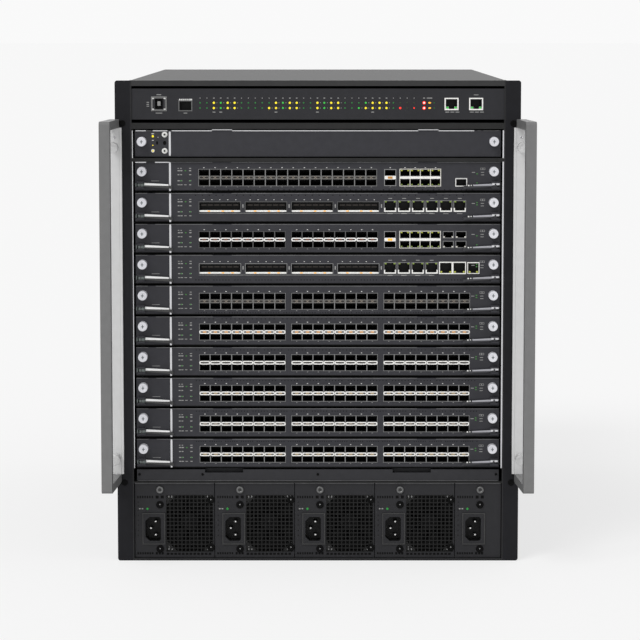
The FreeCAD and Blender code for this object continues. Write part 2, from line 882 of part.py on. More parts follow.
def fan_bay(body):
    """Square cavity behind a square-mesh guard, with the motor that carries the rotor."""
    across = (s.fan_left, s.fan_left + s.fan_width)
    tall = (s.fan_bottom, s.fan_bottom + s.fan_height)
    deep = s.power_sheet + s.fan_cavity
    block(body, "Cavity", across, (s.power_sheet, deep), tall, cut=True)
    column = (s.fan_width + s.grille_bar) / s.grille_columns
    row = (s.fan_height + s.grille_bar) / s.grille_rows
    mesh = block(body, "Mesh", (s.fan_left, s.fan_left + column - s.grille_bar), (0, s.power_sheet),
                 (s.fan_bottom, s.fan_bottom + row - s.grille_bar), cut=True)
    repeat(body, [mesh], "X_Axis", column, s.grille_columns, "Z_Axis", row, s.grille_rows)
    x, z = fan_centre()
    start = s.power_sheet + s.hub_front + s.hub_length + s.motor_gap
    prism(body, "Motor", s.hub_sides, s.motor_radius, x, start, z, "Y", deep - start)


def fan_centre():
    return s.fan_left + s.fan_width / 2, s.fan_bottom + s.fan_height / 2


def power_module(index, fan_count):
    """One supply in its bay; the last one is narrow and has no fan."""
    left = s.power_pitch * index - inner_half + s.power_gap
    right = left + s.power_pitch - s.power_gap if index < fan_count else inner_half - s.power_gap
    body = new_body(f"power_module_{index + 1}", x=left, y=s.face_setback, z=power_floor)
    block(body, "Housing", (0, right - left), (0, s.power_depth), (0, s.power_height))
    mains_inlet(body)
    prism(body, "CaptiveScrew", s.knurl_sides, s.power_screw_radius, s.power_screw_left,
          -s.power_screw_proud, s.power_screw_height, "Y", s.power_screw_proud)
    if index < fan_count:
        fan_bay(body)
        x, z = fan_centre()
        fan_rotor(f"fan_rotor_{index + 1}", left + x, power_floor + z)


def fan_rotor(label, x, z):
    """Hub with pitched blades, in a frame on the fan's axis."""
    body = new_body(label, x=x, y=s.face_setback + s.power_sheet + s.hub_front, z=z)
    prism(body, "Hub", s.hub_sides, s.hub_radius, 0, 0, 0, "Y", s.hub_length)
    blade = body.newObject("PartDesign::AdditiveBox", "Blade")
    blade.Placement = FreeCAD.Placement(Vector(), Rotation(Vector(1, 0, 0), SIZES["rotor_pitch"]))
    root = s.hub_radius - s.rotor_sheet
    bind(blade, "Length", s.rotor_radius - root)
    bind(blade, "Width", s.rotor_chord)
    bind(blade, "Height", s.rotor_sheet)
    bind(blade, "Placement.Base.x", root)
    bind(blade, "Placement.Base.y", (s.hub_length - s.rotor_chord) / 2)
    bind(blade, "Placement.Base.z", -s.rotor_chord / 3)
    ring = body.newObject("PartDesign::PolarPattern", "Blades")
    ring.Originals = [blade]
    ring.Axis = (origin(body, "Y_Axis"), [""])
    ring.Angle = 360
    bind(ring, "Occurrences", s.rotor_blades)
    body.Tip = ring
    return body


# The whole chassis -----------------------------------------------------------------------------

side_wall("side_wall_left", -1)
side_wall("side_wall_right", 1)
base_pan()
folded_sheet("top_cover", cover_floor, height, s.cover_sheet, 0, s.body_depth)
rear_panel()
backplane()
plain_shelf("power_shelf", power_shelf)
folded_sheet("cage_shelf", cage_floor, cage_floor + s.cage_lip, s.shelf_sheet, 0, s.backplane_depth)
folded_sheet("status_shelf", status_shelf, status_shelf + s.status_lip, s.shelf_sheet, 0,
             s.backplane_depth)
status_panel()
rack_ear("rack_ear_left", -1)
rack_ear("rack_ear_right", 1)
handle("handle_left", -1)
handle("handle_right", 1)
handle_plate("handle_plate_left", -1)
handle_plate("handle_plate_right", 1)
handle_screws()
management_module()
button("button_upper", s.button_high)
button("button_lower", s.button_low)
for slot in range(SIZES["card_count"]):
    level = line_card(slot)
    ejector(f"ejector_left_{slot + 1:02d}", -1, level)
    ejector(f"ejector_right_{slot + 1:02d}", 1, level)
filter_tray()
for index in range(5):
    power_module(index, 4)

doc.recompute()
for item in doc.Objects:
    if "Invalid" in item.State or "Error" in item.State:
        raise RuntimeError(f"{item.Label} failed: {item.State}")
bodies = [item for item in doc.Objects if item.TypeId == "PartDesign::Body"]
for body in bodies:
    if body.Shape.isNull() or not body.Shape.isValid():
        raise RuntimeError(f"{body.Label} has no valid shape")

os.makedirs("parts", exist_ok=True)
for body in bodies:
    body.Shape.exportStep(f"parts/{body.Label}.step")
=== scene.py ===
# %% [markdown]
# # A modular chassis switch
# The solids of the chassis come finished from a CAD model: walls, shelves, ten sliding cards, levers,
# power modules and handles. This notebook gives each of them its finish and adds the small parts that
# only the eye needs, such as screw heads, socket cages, lamps and wire guards.
# The CAD parts are never moved. Every new piece rides on the CAD body that carries it, so a card that
# slides out takes its lamps and cages along.

from math import radians

import bmesh
import bpy
from mathutils import Matrix, Vector


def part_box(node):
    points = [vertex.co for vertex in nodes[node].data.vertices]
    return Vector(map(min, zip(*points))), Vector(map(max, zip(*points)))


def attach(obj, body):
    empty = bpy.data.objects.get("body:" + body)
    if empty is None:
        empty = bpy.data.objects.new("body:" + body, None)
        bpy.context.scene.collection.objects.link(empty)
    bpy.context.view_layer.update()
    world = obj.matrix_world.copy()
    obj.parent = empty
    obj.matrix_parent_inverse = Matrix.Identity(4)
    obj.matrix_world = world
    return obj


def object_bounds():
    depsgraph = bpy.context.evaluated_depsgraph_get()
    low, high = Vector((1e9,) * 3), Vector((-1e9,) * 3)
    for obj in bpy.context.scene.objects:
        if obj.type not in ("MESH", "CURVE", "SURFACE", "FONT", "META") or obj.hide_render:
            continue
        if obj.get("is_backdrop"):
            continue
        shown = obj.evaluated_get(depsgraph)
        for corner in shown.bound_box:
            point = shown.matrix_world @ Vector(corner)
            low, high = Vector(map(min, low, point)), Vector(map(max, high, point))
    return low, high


MM = 0.001
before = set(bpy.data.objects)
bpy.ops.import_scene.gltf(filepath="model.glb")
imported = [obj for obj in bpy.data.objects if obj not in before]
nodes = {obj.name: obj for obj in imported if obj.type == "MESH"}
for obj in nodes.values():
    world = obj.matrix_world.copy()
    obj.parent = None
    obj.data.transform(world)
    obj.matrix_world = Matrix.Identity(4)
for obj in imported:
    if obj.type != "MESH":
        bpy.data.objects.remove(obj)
cad_low, cad_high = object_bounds()
print(len(nodes), "CAD nodes, box", [round(v, 4) for v in (*cad_low, *cad_high)])

# %% [markdown]
# ## Camera
# A long lens from a few metres away keeps the sides of the chassis almost hidden and its rows level.
# The camera stands a little above the top cover and looks down by six degrees, so that the cover
# shows as a narrow band.

# %% Camera
camera = bpy.data.objects.new("camera", bpy.data.cameras.new("camera"))
bpy.context.scene.collection.objects.link(camera)
camera.data.lens = 158.12
camera.data.clip_end = 500
camera.location = (0.00255, -3.68294, 0.64784)
camera.rotation_euler = (radians(90 - 6.0685), 0, 0)
bpy.context.scene.camera = camera
bpy.context.scene.view_settings.view_transform = "Standard"
print("camera at", [round(v, 3) for v in camera.location])

# %% [markdown]
# ## Light and floor
# An even white world gives most of the light, so a colour renders about as it is written. A soft sun
# from the upper left adds the shadows of screw heads and handles. What the camera sees of the world is
# set apart through Light Path, so the backdrop stays pale however the object is lit.

# %% Helpers for shaders
def join(start, out, end, into):
    """Joins an output of one shader node to an input of another."""
    start.id_data.links.new(start.outputs[out], end.inputs[into])


def shader_of(material):
    """The Principled shader of a material."""
    return material.node_tree.nodes["Principled BSDF"]


def finish(name, colour, roughness, metallic=0.0, specular=0.5):
    """A material with one shader; colour, roughness and the like sit on its own sockets."""
    material = bpy.data.materials.new(name)
    material.use_nodes = True
    shader = shader_of(material)
    shader.inputs["Base Color"].default_value = (*colour, 1)
    shader.inputs["Roughness"].default_value = roughness
    shader.inputs["Metallic"].default_value = metallic
    shader.inputs["Specular IOR Level"].default_value = specular
    return material


def deselect():
    """Deselects everything, so that an operator acts only on what is added next."""
    bpy.ops.object.select_all(action="DESELECT")


PALE = (0.95, 0.95, 0.95)
print("shader helpers ready")

# %% World
world = bpy.data.worlds.new("studio")
bpy.context.scene.world = world
world.use_nodes = True
sky = world.node_tree
lighting = sky.nodes["Background"]
lighting.inputs["Color"].default_value = (1, 1, 1, 1)
lighting.inputs["Strength"].default_value = 0.66
backdrop = sky.nodes.new("ShaderNodeBackground")
backdrop.inputs["Color"].default_value = (*PALE, 1)
rays = sky.nodes.new("ShaderNodeLightPath")
seen, output = rays, "Is Camera Ray"
for ray in ("Is Transmission Ray", "Is Glossy Ray"):
    either = sky.nodes.new("ShaderNodeMath")
    either.operation = "MAXIMUM"
    join(seen, output, either, 0)
    join(rays, ray, either, 1)
    seen, output = either, "Value"
choice = sky.nodes.new("ShaderNodeMixShader")
join(seen, output, choice, "Fac")
join(lighting, 0, choice, 1)
join(backdrop, 0, choice, 2)
join(choice, 0, sky.nodes["World Output"], "Surface")
print("world ready")

# %% Sun and floor
sun = bpy.data.objects.new("sun", bpy.data.lights.new("sun", "SUN"))
bpy.context.scene.collection.objects.link(sun)
sun.data.energy = 1.25
sun.data.angle = radians(24)
sun.rotation_euler = (radians(46), 0, radians(-34))

deselect()
bpy.ops.mesh.primitive_plane_add(size=160, location=(0, 0, cad_low.z - 0.2 * MM))
floor = bpy.context.object
floor.name = "floor"
floor_paper = finish("floor_paper", PALE, 1.0, specular=0.0)
paper = floor_paper.node_tree
share = paper.nodes.new("ShaderNodeMath")
share.operation = "MULTIPLY"
share.inputs[1].default_value = 0.72
glow = paper.nodes.new("ShaderNodeEmission")
glow.inputs["Color"].default_value = (*PALE, 1)
mix = paper.nodes.new("ShaderNodeMixShader")
join(paper.nodes.new("ShaderNodeLightPath"), "Is Camera Ray", share, 0)
join(share, "Value", mix, "Fac")
join(shader_of(floor_paper), 0, mix, 1)
join(glow, 0, mix, 2)
join(mix, 0, paper.nodes["Material Output"], "Surface")
floor.data.materials.append(floor_paper)
floor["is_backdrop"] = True
print("sun and floor ready")

# %% [markdown]
# ## Finishes
# Every finish starts from one Principled shader, whose own sockets hold what is the same all over.
# Noise on Object coordinates then varies the colour a little and raises a fine grain, as powder coat,
# moulded plastic and brushed sheet have. Object coordinates stay with the part when it slides.

# %% Helpers for finishes
def noise(material, size, stretch):
    """A noise texture whose grains are about size millimetres across, stretched along the axes."""
    tree = material.node_tree
    scaling = tree.nodes.new("ShaderNodeMapping")
    scaling.inputs["Scale"].default_value = [1 / part for part in stretch]
    grains = tree.nodes.new("ShaderNodeTexNoise")
    grains.inputs["Scale"].default_value = 1 / (size * MM)
    grains.inputs["Detail"].default_value = 4
    join(tree.nodes.new("ShaderNodeTexCoord"), "Object", scaling, "Vector")
    join(scaling, "Vector", grains, "Vector")
    return grains


def mottle(material, darker, lighter, size, stretch=(1, 1, 1)):
    """Lets the colour wander between two near shades."""
    ramp = material.node_tree.nodes.new("ShaderNodeValToRGB")
    for index, (position, colour) in enumerate(((0.35, darker), (0.65, lighter))):
        ramp.color_ramp.elements[index].position = position
        ramp.color_ramp.elements[index].color = (*colour, 1)
    join(noise(material, size, stretch), "Fac", ramp, "Fac")
    join(ramp, "Color", shader_of(material), "Base Color")


def grain(material, size, depth, stretch=(1, 1, 1)):
    """Raises a fine grain of this depth, in millimetres."""
    bump = material.node_tree.nodes.new("ShaderNodeBump")
    bump.inputs["Distance"].default_value = depth * MM
    bump.inputs["Strength"].default_value = 0.6
    join(noise(material, size, stretch), "Fac", bump, "Height")
    join(bump, "Normal", shader_of(material), "Normal")


def behind(material, depth, colour):
    """Turns the finish to another colour past this depth along Y, in millimetres."""
    tree = material.node_tree
    base = shader_of(material).inputs["Base Color"]
    split = tree.nodes.new("ShaderNodeSeparateXYZ")
    past = tree.nodes.new("ShaderNodeMath")
    past.operation = "GREATER_THAN"
    past.inputs[1].default_value = depth * MM
    mix = tree.nodes.new("ShaderNodeMix")
    mix.data_type = "RGBA"
    mix.inputs["B"].default_value = (*colour, 1)
    join(tree.nodes.new("ShaderNodeTexCoord"), "Object", split, "Vector")
    join(split, "Y", past, 0)
    join(past, 0, mix, "Factor")
    tree.links.new(base.links[0].from_socket, mix.inputs["A"])
    tree.links.new(mix.outputs["Result"], base)


def paint(name, shade, tint=1.0, roughness=0.5, specular=0.3, spread=0.12):
    """Powder coat: a near-grey shade with a soft mottle and a fine orange-peel grain."""
    colour = (shade, shade, shade * tint)
    material = finish(name, colour, roughness, specular=specular)
    darker, lighter = ([part * share for part in colour] for share in (1 - spread, 1 + spread))
    mottle(material, darker, lighter, 9)
    grain(material, 0.7, 0.04)
    return material


def metal(name, shade, roughness, tint=1.0, stretch=(1, 1, 1)):
    """Bright metal with faint brushing along the axis that is stretched."""
    colour = (shade, shade, shade * tint)
    material = finish(name, colour, roughness, metallic=1.0)
    mottle(material, [part * 0.9 for part in colour], colour, 1.6, stretch)
    grain(material, 0.5, 0.01, stretch)
    return material


def plastic(name, colour, roughness=0.4, specular=0.4):
    """Moulded plastic with a slight unevenness of tone."""
    material = finish(name, colour, roughness, specular=specular)
    mottle(material, [part * 0.85 for part in colour], [part * 1.1 for part in colour], 1.5)
    grain(material, 0.4, 0.01)
    return material


def lamp(name, colour, glow):
    """A lit lens: coloured plastic that gives off some light of its own."""
    material = plastic(name, colour, roughness=0.25)
    shader = shader_of(material)
    shader.inputs["Emission Color"].default_value = (*colour, 1)
    shader.inputs["Emission Strength"].default_value = glow
    return material


print("finish helpers ready")

# %% [markdown]
# ## Finishes of the CAD parts
# The faceplates are dark grey powder coat. Behind a faceplate the same solid is a socket housing and
# then a green circuit board, so the colour changes with depth. Depth is measured from the plane of the
# ears, which the handle plates lie on.

# %% Paints, metals and plastics
ear_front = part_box("handle_plate_left")[1].y / MM
card_front = ear_front + 3.0
status_front = ear_front + 1.5
socket_start = card_front + 0.4
board_start = card_front + 16.5
BLACK = (0.004, 0.004, 0.004)
BOARD = (0.02, 0.075, 0.035)

shell_paint = paint("shell_paint", 0.012, 1.1)
ear_paint = paint("ear_paint", 0.007, 1.3, specular=0.2)
inner_paint = paint("inner_paint", 0.012)
cover_paint = paint("cover_paint", 0.03, 1.02, roughness=0.45, specular=0.28, spread=0.06)
panel_paint = paint("panel_paint", 0.029, 1.2, spread=0.07)
behind(panel_paint, socket_start, BLACK)
behind(panel_paint, board_start, BOARD)
tray_paint = paint("tray_paint", 0.023, 1.15, spread=0.07)
status_paint = paint("status_paint", 0.017, 1.2, spread=0.07)
behind(status_paint, status_front + 0.4, BLACK)
power_paint = paint("power_paint", 0.016, 1.15, spread=0.06)
behind(power_paint, card_front + 0.3, BLACK)
handle_paint = paint("handle_paint", 0.178, 1.0, roughness=0.38, spread=0.03)
bright_plate = paint("bright_plate", 0.62, 1.0, roughness=0.42, spread=0.02)
bright_screw = metal("bright_screw", 0.8, 0.22, 1.03)
lever_white = paint("lever_white", 0.9, 1.0, roughness=0.35, spread=0.02)
# The CAD lever bodies are painted dark: painted shade under the lit sleeves that ride on them.
lever_shade = metal("lever_shade", 0.08, 0.45, stretch=(8, 1, 1))
lever_steel_shade = metal("lever_steel_shade", 0.07, 0.45, 1.08, stretch=(8, 1, 1))
fan_plastic = plastic("fan_plastic", (0.005, 0.005, 0.0055), 0.5, 0.15)
cap_white = plastic("cap_white", (0.8, 0.8, 0.78), 0.3)
board_green = plastic("board_green", BOARD, 0.5)
print(len(bpy.data.materials), "materials")

# %% Give each CAD part its finish
def dress(node, material):
    """Puts a material in every slot of a CAD part, leaving its mesh as it is."""
    part = nodes[node]
    if not part.material_slots:
        part.data.materials.append(material)
    for place in part.material_slots:
        place.material = material


def finish_for(node):
    """The finish of a CAD part, by the start of its name."""
    by_name = {"top_cover": cover_paint, "rack_ear": ear_paint, "backplane": board_green,
        "power_shelf": inner_paint, "cage_shelf": inner_paint, "status_shelf": inner_paint,
        "status_panel": status_paint, "handle_plate": bright_plate, "handle_screws": bright_screw,
        "handle": handle_paint, "management_module": panel_paint, "line_card": panel_paint,
        "filter_tray": tray_paint, "ejector_left": lever_shade, "ejector_right": lever_steel_shade,
        "power_module": power_paint, "fan_rotor": fan_plastic, "button": cap_white}
    for start, material in by_name.items():
        if node.startswith(start):
            return material
    return shell_paint


for node in nodes:
    dress(node, finish_for(node))
print("dressed", len(nodes), "CAD parts")

# %% [markdown]
# ## Stamps
# Most of the detail is small and repeated: a lamp, a label bar, a screw head. Each is modelled once at
# the origin, facing the front, as a stamp. Copies of its mesh are then moved to their places and
# joined into one piece for each card, which is light to render and easy to move.

# %% Helpers for modelling
def settle(name, material=None):
    """Names the new piece and moves its place, turn and size into its mesh."""
    piece = bpy.context.object
    piece.name = name
    piece.data.name = name
    bpy.ops.object.transform_apply(location=True, rotation=True, scale=True)
    if material:
        piece.data.materials.append(material)
    return piece


def pick_faces(piece, wanted):
    """Opens edit mode with the faces selected whose centre and normal pass the test."""
    bpy.ops.object.mode_set(mode="EDIT")
    bpy.ops.mesh.select_mode(type="FACE")
    bpy.ops.mesh.select_all(action="DESELECT")
    shape = bmesh.from_edit_mesh(piece.data)
    for face in shape.faces:
        face.select_set(wanted(face.calc_center_median(), face.normal))
    bmesh.update_edit_mesh(piece.data)


def front_face(centre, normal):
    """True for the faces that look at the viewer."""
    return normal.y < -0.999


def paint_picked(piece, material):
    """Gives the selected faces a second material and leaves edit mode."""
    piece.data.materials.append(material)
    piece.active_material_index = len(piece.data.materials) - 1
    bpy.ops.object.material_slot_assign()
    bpy.ops.object.mode_set(mode="OBJECT")


def block_stamp(name, width, tall, deep, corner, steps, material=None):
    """A block in front of the origin with rounded upright corners, its front face left selected."""
    deselect()
    bpy.ops.mesh.primitive_cube_add(size=MM, location=(0, -deep * MM / 2, 0), scale=(width, deep, tall))
    piece = settle(name, material)
    bpy.ops.object.mode_set(mode="EDIT")
    bpy.ops.mesh.select_mode(type="EDGE")
    bpy.ops.mesh.select_all(action="DESELECT")
    shape = bmesh.from_edit_mesh(piece.data)
    for edge in shape.edges:
        along = edge.verts[0].co - edge.verts[1].co
        edge.select_set(abs(along.y) > 0.9 * along.length)
    bmesh.update_edit_mesh(piece.data)
    bpy.ops.mesh.bevel(offset=corner * MM, segments=steps)
    bpy.ops.object.mode_set(mode="OBJECT")
    pick_faces(piece, front_face)
    return piece


stamps = []


def keep_stamp(piece):
    """Leaves edit mode and remembers the stamp, so that it is cleared away at the end."""
    if bpy.context.object.mode == "EDIT":
        bpy.ops.object.mode_set(mode="OBJECT")
    stamps.append(piece)
    return piece


def copies(name, stamp, spots, body, front, depth=1.0, material=None):
    """Joins copies of a stamp at (x, z) or (x, z, width, height), in millimetres, on the plane front."""
    made = []
    for x, z, *size in spots:
        copy = stamp.copy()
        copy.data = stamp.data.copy()
        wide, tall = size if size else (1.0, 1.0)
        stretch = Matrix.Diagonal((wide, depth, tall, 1.0))
        copy.data.transform(Matrix.Translation(Vector((x, front, z)) * MM) @ stretch)
        bpy.context.scene.collection.objects.link(copy)
        made.append(copy)
    deselect()
    for copy in made:
        copy.select_set(True)
    bpy.context.view_layer.objects.active = made[0]
    if len(made) > 1:
        bpy.ops.object.join()
    piece = bpy.context.view_layer.objects.active
    piece.name = name
    piece.data.name = name
    if material:
        piece.data.materials.clear()
        piece.data.materials.append(material)
    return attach(piece, body)


def on(body, front, tag="", level=0.0, left=0.0):
    """A short form of copies for one body and plane. It ends each name with the tag, and places are
    counted from the left edge and the level."""
    def place(name, stamp, spots, depth=1.0, material=None, slot=None, back=0.0):
        moved = [(left + x, level + z, *size) for x, z, *size in spots]
        return copies(name + tag, stamp, moved, body, front + back, depth, material)

    return place


def level_of(node):
    """Height of the lower edge of a card or module, in millimetres."""
    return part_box(node)[0].z / MM


def on_card(number):
    """Places pieces on the face of one line card, at heights above its lower edge."""
    return on(f"card_{number}", card_front, f"_{number}", level_of(f"line_card_{number}"))


print("modelling helpers ready")

# %% [markdown]
# ## Bar, bead and lattice
# The bar is a unit plate with a chamfered front edge: stretched, it makes printed marks, strips, painted
# edge highlights and painted shadow lines. The bead is a low faceted dome for lamps and, in black, for
# small holes. The lattice is a grid stood upright whose faces are inset one by one and cut out, as a row
# of socket frames is.

# %% Bar and bead
def bar_stamp():
    """A plate one millimetre each way, its front edges chamfered."""
    piece = block_stamp("bar_stamp", 1, 1, 1, 0.08, 1)
    bpy.ops.mesh.bevel(offset=0.12 * MM, segments=1)
    return keep_stamp(piece)


def disc(name, sides, radius, tall, material=None):
    """A cylinder in front of the origin, one end towards the viewer."""
    deselect()
    bpy.ops.mesh.primitive_cylinder_add(vertices=sides, radius=radius * MM, depth=tall * MM,
        location=(0, -tall * MM / 2, 0), rotation=(radians(90), 0, 0))
    return settle(name, material)


def bead_stamp():
    """A ten-sided lens one millimetre across with a domed front."""
    piece = disc("bead_stamp", 10, 0.5, 1)
    pick_faces(piece, front_face)
    bpy.ops.mesh.bevel(offset=0.16 * MM, segments=2)
    return keep_stamp(piece)


bar = bar_stamp()
bead = bead_stamp()
print("bar and bead:", len(bar.data.polygons), len(bead.data.polygons), "faces")


# %% Lattice of frames
def lattice_stamp(name, pitch, tall, rim, deep, columns=1, rows=1):
    """Open frames side by side, each pitch wide and tall high, with rims of this width."""
    deselect()
    bpy.ops.mesh.primitive_grid_add(x_subdivisions=columns, y_subdivisions=rows, size=MM,
        rotation=(radians(90), 0, 0))
    bpy.context.object.scale = (pitch * columns, tall * rows, 1)
    piece = settle(name)
    pick_faces(piece, lambda centre, normal: True)
    bpy.ops.mesh.inset(thickness=rim * MM, use_individual=True)
    bpy.ops.mesh.delete(type="FACE")
    bpy.ops.object.mode_set(mode="OBJECT")
    wall = piece.modifiers.new("wall", "SOLIDIFY")
    wall.thickness = deep * MM
    wall.offset = 1.0
    bpy.ops.object.modifier_apply(modifier="wall")
    return keep_stamp(piece)


print("lattice helper ready")

# %% [markdown]
# ## Screws
# The cards are held by knurled thumbscrews, which are the brightest things on the face. The knurling
# is every side face of a cylinder inset and pushed in. The small screws are low heads with a dark sunk
# middle, made from a cylinder whose front is inset twice.

# %% Screw stamps
def head_stamp(name, sides, radius, tall, material, centre, knurl=0.0):
    """A screw head: chamfered rim, raised ring and a darker sunk middle."""
    piece = disc(name, sides, radius, tall, material)
    if knurl:
        pick_faces(piece, lambda middle, normal: abs(normal.y) < 0.1)
        bpy.ops.mesh.inset(thickness=radius * MM * 0.05, depth=-knurl * MM, use_individual=True)
        bpy.ops.object.mode_set(mode="OBJECT")
    pick_faces(piece, front_face)
    bpy.ops.mesh.bevel(offset=radius * MM * 0.12, segments=2)
    bpy.ops.object.mode_set(mode="OBJECT")
    pick_faces(piece, front_face)
    bpy.ops.mesh.inset(thickness=radius * MM * 0.3)
    bpy.ops.mesh.inset(thickness=radius * MM * 0.08, depth=-radius * MM * 0.05)
    paint_picked(piece, centre)
    return keep_stamp(piece)


thumb_bright = paint("thumb_bright", 0.74, 1.06, roughness=0.25, specular=0.6, spread=0.05)
# Grey for sunk middles and slots, and as a painted glint in the middle of the plugs in the rack holes.
recess_and_glint_grey = plastic("recess_and_glint_grey", (0.22, 0.24, 0.25), 0.4)
# Black for screw heads, and as painted shade on the plugs in the shaded rack holes.
screw_and_shade_black = paint("screw_and_shade_black", 0.002, roughness=0.5, specular=0.08)
thumb_head = head_stamp("thumb_head", 24, 5.65, 10.9, thumb_bright, thumb_bright, knurl=0.1)
small_head = head_stamp("small_head", 12, 1.6, 0.8, bright_screw, recess_and_glint_grey)
black_head = head_stamp("black_head", 14, 4.6, 1.6, screw_and_shade_black, screw_and_shade_black)
captive_metal = metal("captive_metal", 0.17, 0.3)
recess_dark = plastic("recess_dark", (0.02, 0.02, 0.02), 0.4)
captive_head = head_stamp("captive_head", 18, 4.35, 3.4, captive_metal, recess_dark)
print("four screw heads")

# %% [markdown]
# ## Places on a card
# Ten cards share one layout of screws, levers and painted edge highlights, measured from the lower left
# of the card's faceplate. The level of each card comes from its CAD node; heights above it are in
# millimetres.

# %% Card levels and shared places
CARDS = [f"{number:02d}" for number in range(1, 11)]
card_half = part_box("line_card_01")[1].x / MM
card_tall = 35.0
thumb_inset = 8.35
thumb_height = 23.9
strip_x = -176.2
highlight_tall = 0.8
pivot_x = card_half - 6.4
lever_height = 7.8
ink = 0.12
print("cards at", [round(level_of(f"line_card_{number}"), 1) for number in CARDS])


# %% Thumbscrew heads
def thumbscrews(place, height):
    """A knurled head and its slot near either end of a faceplate."""
    sides = [(side * (card_half - thumb_inset), height) for side in (-1, 1)]
    place("thumbscrews", thumb_head, sides, slot="bright_screw")
    slots = [(x, z, 3.2, 1.1) for x, z in sides] + [(x, z, 1.1, 4.2) for x, z in sides]
    place("thumb_slots", bar, slots, 0.3, recess_and_glint_grey, back=-10.5)


for number in CARDS:
    thumbscrews(on_card(number), thumb_height)
manager_level = level_of("management_module")
thumbscrews(on("management", card_front, "_manager", manager_level), 18.0)
print("thumbscrews placed")

# %% [markdown]
# ## Painted edge highlights and shadow
# A narrow bright strip runs up each faceplate beside the levers: a painted highlight on the edge of a
# step in the faceplate. A thin pale line along its upper edge, with gaps where the fingers of the card
# above pass, is a painted highlight of the lit top bevel, and a black bar along its foot is a painted
# shadow in the gap below. They break up the dark stack of cards and show where one card ends.

# %% Painted highlights and shadow along the card edges
# Bright metal: painted highlights on lit edges and steps of the front, and the tabs at the right lever
# pivots.
bright_metal_and_highlight = metal("bright_metal_and_highlight", 0.74, 0.3, 1.03, stretch=(1, 1, 6))
# Pale paint for the painted highlights along lit upper and lower edges.
edge_highlight_paint = paint("edge_highlight_paint", 0.13, 1.03, roughness=0.4)
# Black for holes, and as painted shadow in the gap under each card.
hole_and_shadow_black = plastic("hole_and_shadow_black", (0.003, 0.003, 0.003), 0.7, 0.1)
HIGHLIGHT_SPANS = [(-card_half, -203.5), (-194.0, -125.8), (-103.0, 119.0), (142.0, card_half)]


def highlight_bars(spans, z, tall):
    """Bars from left to right edges, at one height."""
    return [((left + right) / 2, z, right - left, tall) for left, right in spans]


top_height = card_tall - highlight_tall / 2
for number in CARDS:
    place = on_card(number)
    # A bright strip up each faceplate beside the levers: painted highlight on the edge of a step in the
    # faceplate.
    strip = [(strip_x, card_tall / 2, 2.3, card_tall - 1.0)]
    place("edge_strip", bar, strip, 0.5, bright_metal_and_highlight, "bright_plate")
    # A black bar along the foot of each card: painted shadow in the gap below it.
    place("foot_seal", bar, [(0, 0.65, card_half * 2, 1.3)], 0.2, hole_and_shadow_black)
    # A pale line along the top edge, broken where the fingers of the card above pass: painted highlight
    # of the lit top bevel.
    top_highlight_bars = highlight_bars(HIGHLIGHT_SPANS, top_height, highlight_tall)
    place("top_seam", bar, top_highlight_bars, 0.25, edge_highlight_paint, "bright_plate")
# Brighter parts of that line on the top card: painted highlight.
corner = highlight_bars([(-217.5, -204.7), (-193.9, -176.6)], top_height, 1.3)
on_card("01")("corner_seam", bar, corner, 0.5, bright_metal_and_highlight, "bright_plate")
print("seams placed")

# %% [markdown]
# ## Socket cages
# A ganged block of sockets is a sheet cage with thin bright walls, standing in a black moulding. Two
# lattices make it: a wide black one that hides the edge of the opening, and a thin grey one on top.
# Between the rows lies the strip with one light pipe bracket and a coloured latch for each column.

# %% Cage finishes and brackets
cage_grey = metal("cage_grey", 0.3, 0.42)
cage_dark = metal("cage_dark", 0.16, 0.45)
cage_cream = plastic("cage_cream", (0.7, 0.68, 0.62), 0.35)
sleeve_black = plastic("sleeve_black", (0.006, 0.006, 0.006), 0.5, 0.2)
bracket_white = plastic("bracket_white", (0.92, 0.91, 0.88), 0.3)
bracket_dull = plastic("bracket_dull", (0.13, 0.125, 0.115), 0.4)
bracket_hole = plastic("bracket_hole", (0.012, 0.008, 0.007), 0.5)
latch_red = plastic("latch_red", (0.2, 0.085, 0.055))
latch_brown = plastic("latch_brown", (0.3, 0.26, 0.21))
latch_amber = plastic("latch_amber", (0.62, 0.3, 0.07))
latch_sand = plastic("latch_sand", (0.42, 0.33, 0.2))
latch_dark = plastic("latch_dark", (0.05, 0.045, 0.04))
bay_brown = plastic("bay_brown", (0.022, 0.016, 0.012))
print("cage finishes ready")

jack_left = -141.4
jack_pitch = 12.95
jack_width = 11.3
jack_tall = 6.8
strip_tall = 4.8
jack_centre = 16.4
group_pitch = 110.4
dense_pitch = 13.3
block_tall = jack_tall * 2 + strip_tall


def bracket_stamp(name, material):
    """A rounded ring as wide as a socket, with a sunk dark middle."""
    piece = block_stamp(name, jack_width + 1.3, strip_tall - 0.5, 0.7, 1.7, 3, material)
    bpy.ops.mesh.inset(thickness=1.25 * MM)
    bpy.ops.mesh.inset(thickness=0.1 * MM, depth=-0.5 * MM)
    paint_picked(piece, bracket_hole)
    return keep_stamp(piece)


white_bracket = bracket_stamp("white_bracket", bracket_white)
dull_bracket = bracket_stamp("dull_bracket", bracket_dull)


def cross_stamp():
    """Two crossed spring fingers, as the dull strips have in the middle of each bracket."""
    arms = []
    for turn in (-38, 38):
        deselect()
        bpy.ops.mesh.primitive_cube_add(size=MM, location=(0, -0.45 * MM, 0), scale=(4.6, 0.9, 0.55),
            rotation=(0, radians(turn), 0))
        arm = settle("cross_stamp")
        pick_faces(arm, front_face)
        bpy.ops.mesh.bevel(offset=0.1 * MM, segments=1)
        bpy.ops.object.mode_set(mode="OBJECT")
        arms.append(arm)
    arms[0].select_set(True)
    bpy.ops.object.join()
    return keep_stamp(bpy.context.object)


cross = cross_stamp()
print("brackets ready")


# %% A block of sockets
def columns_of(left, count, pitch, width):
    """Middles of the sockets of a block."""
    return [left + width / 2 + pitch * index for index in range(count)]


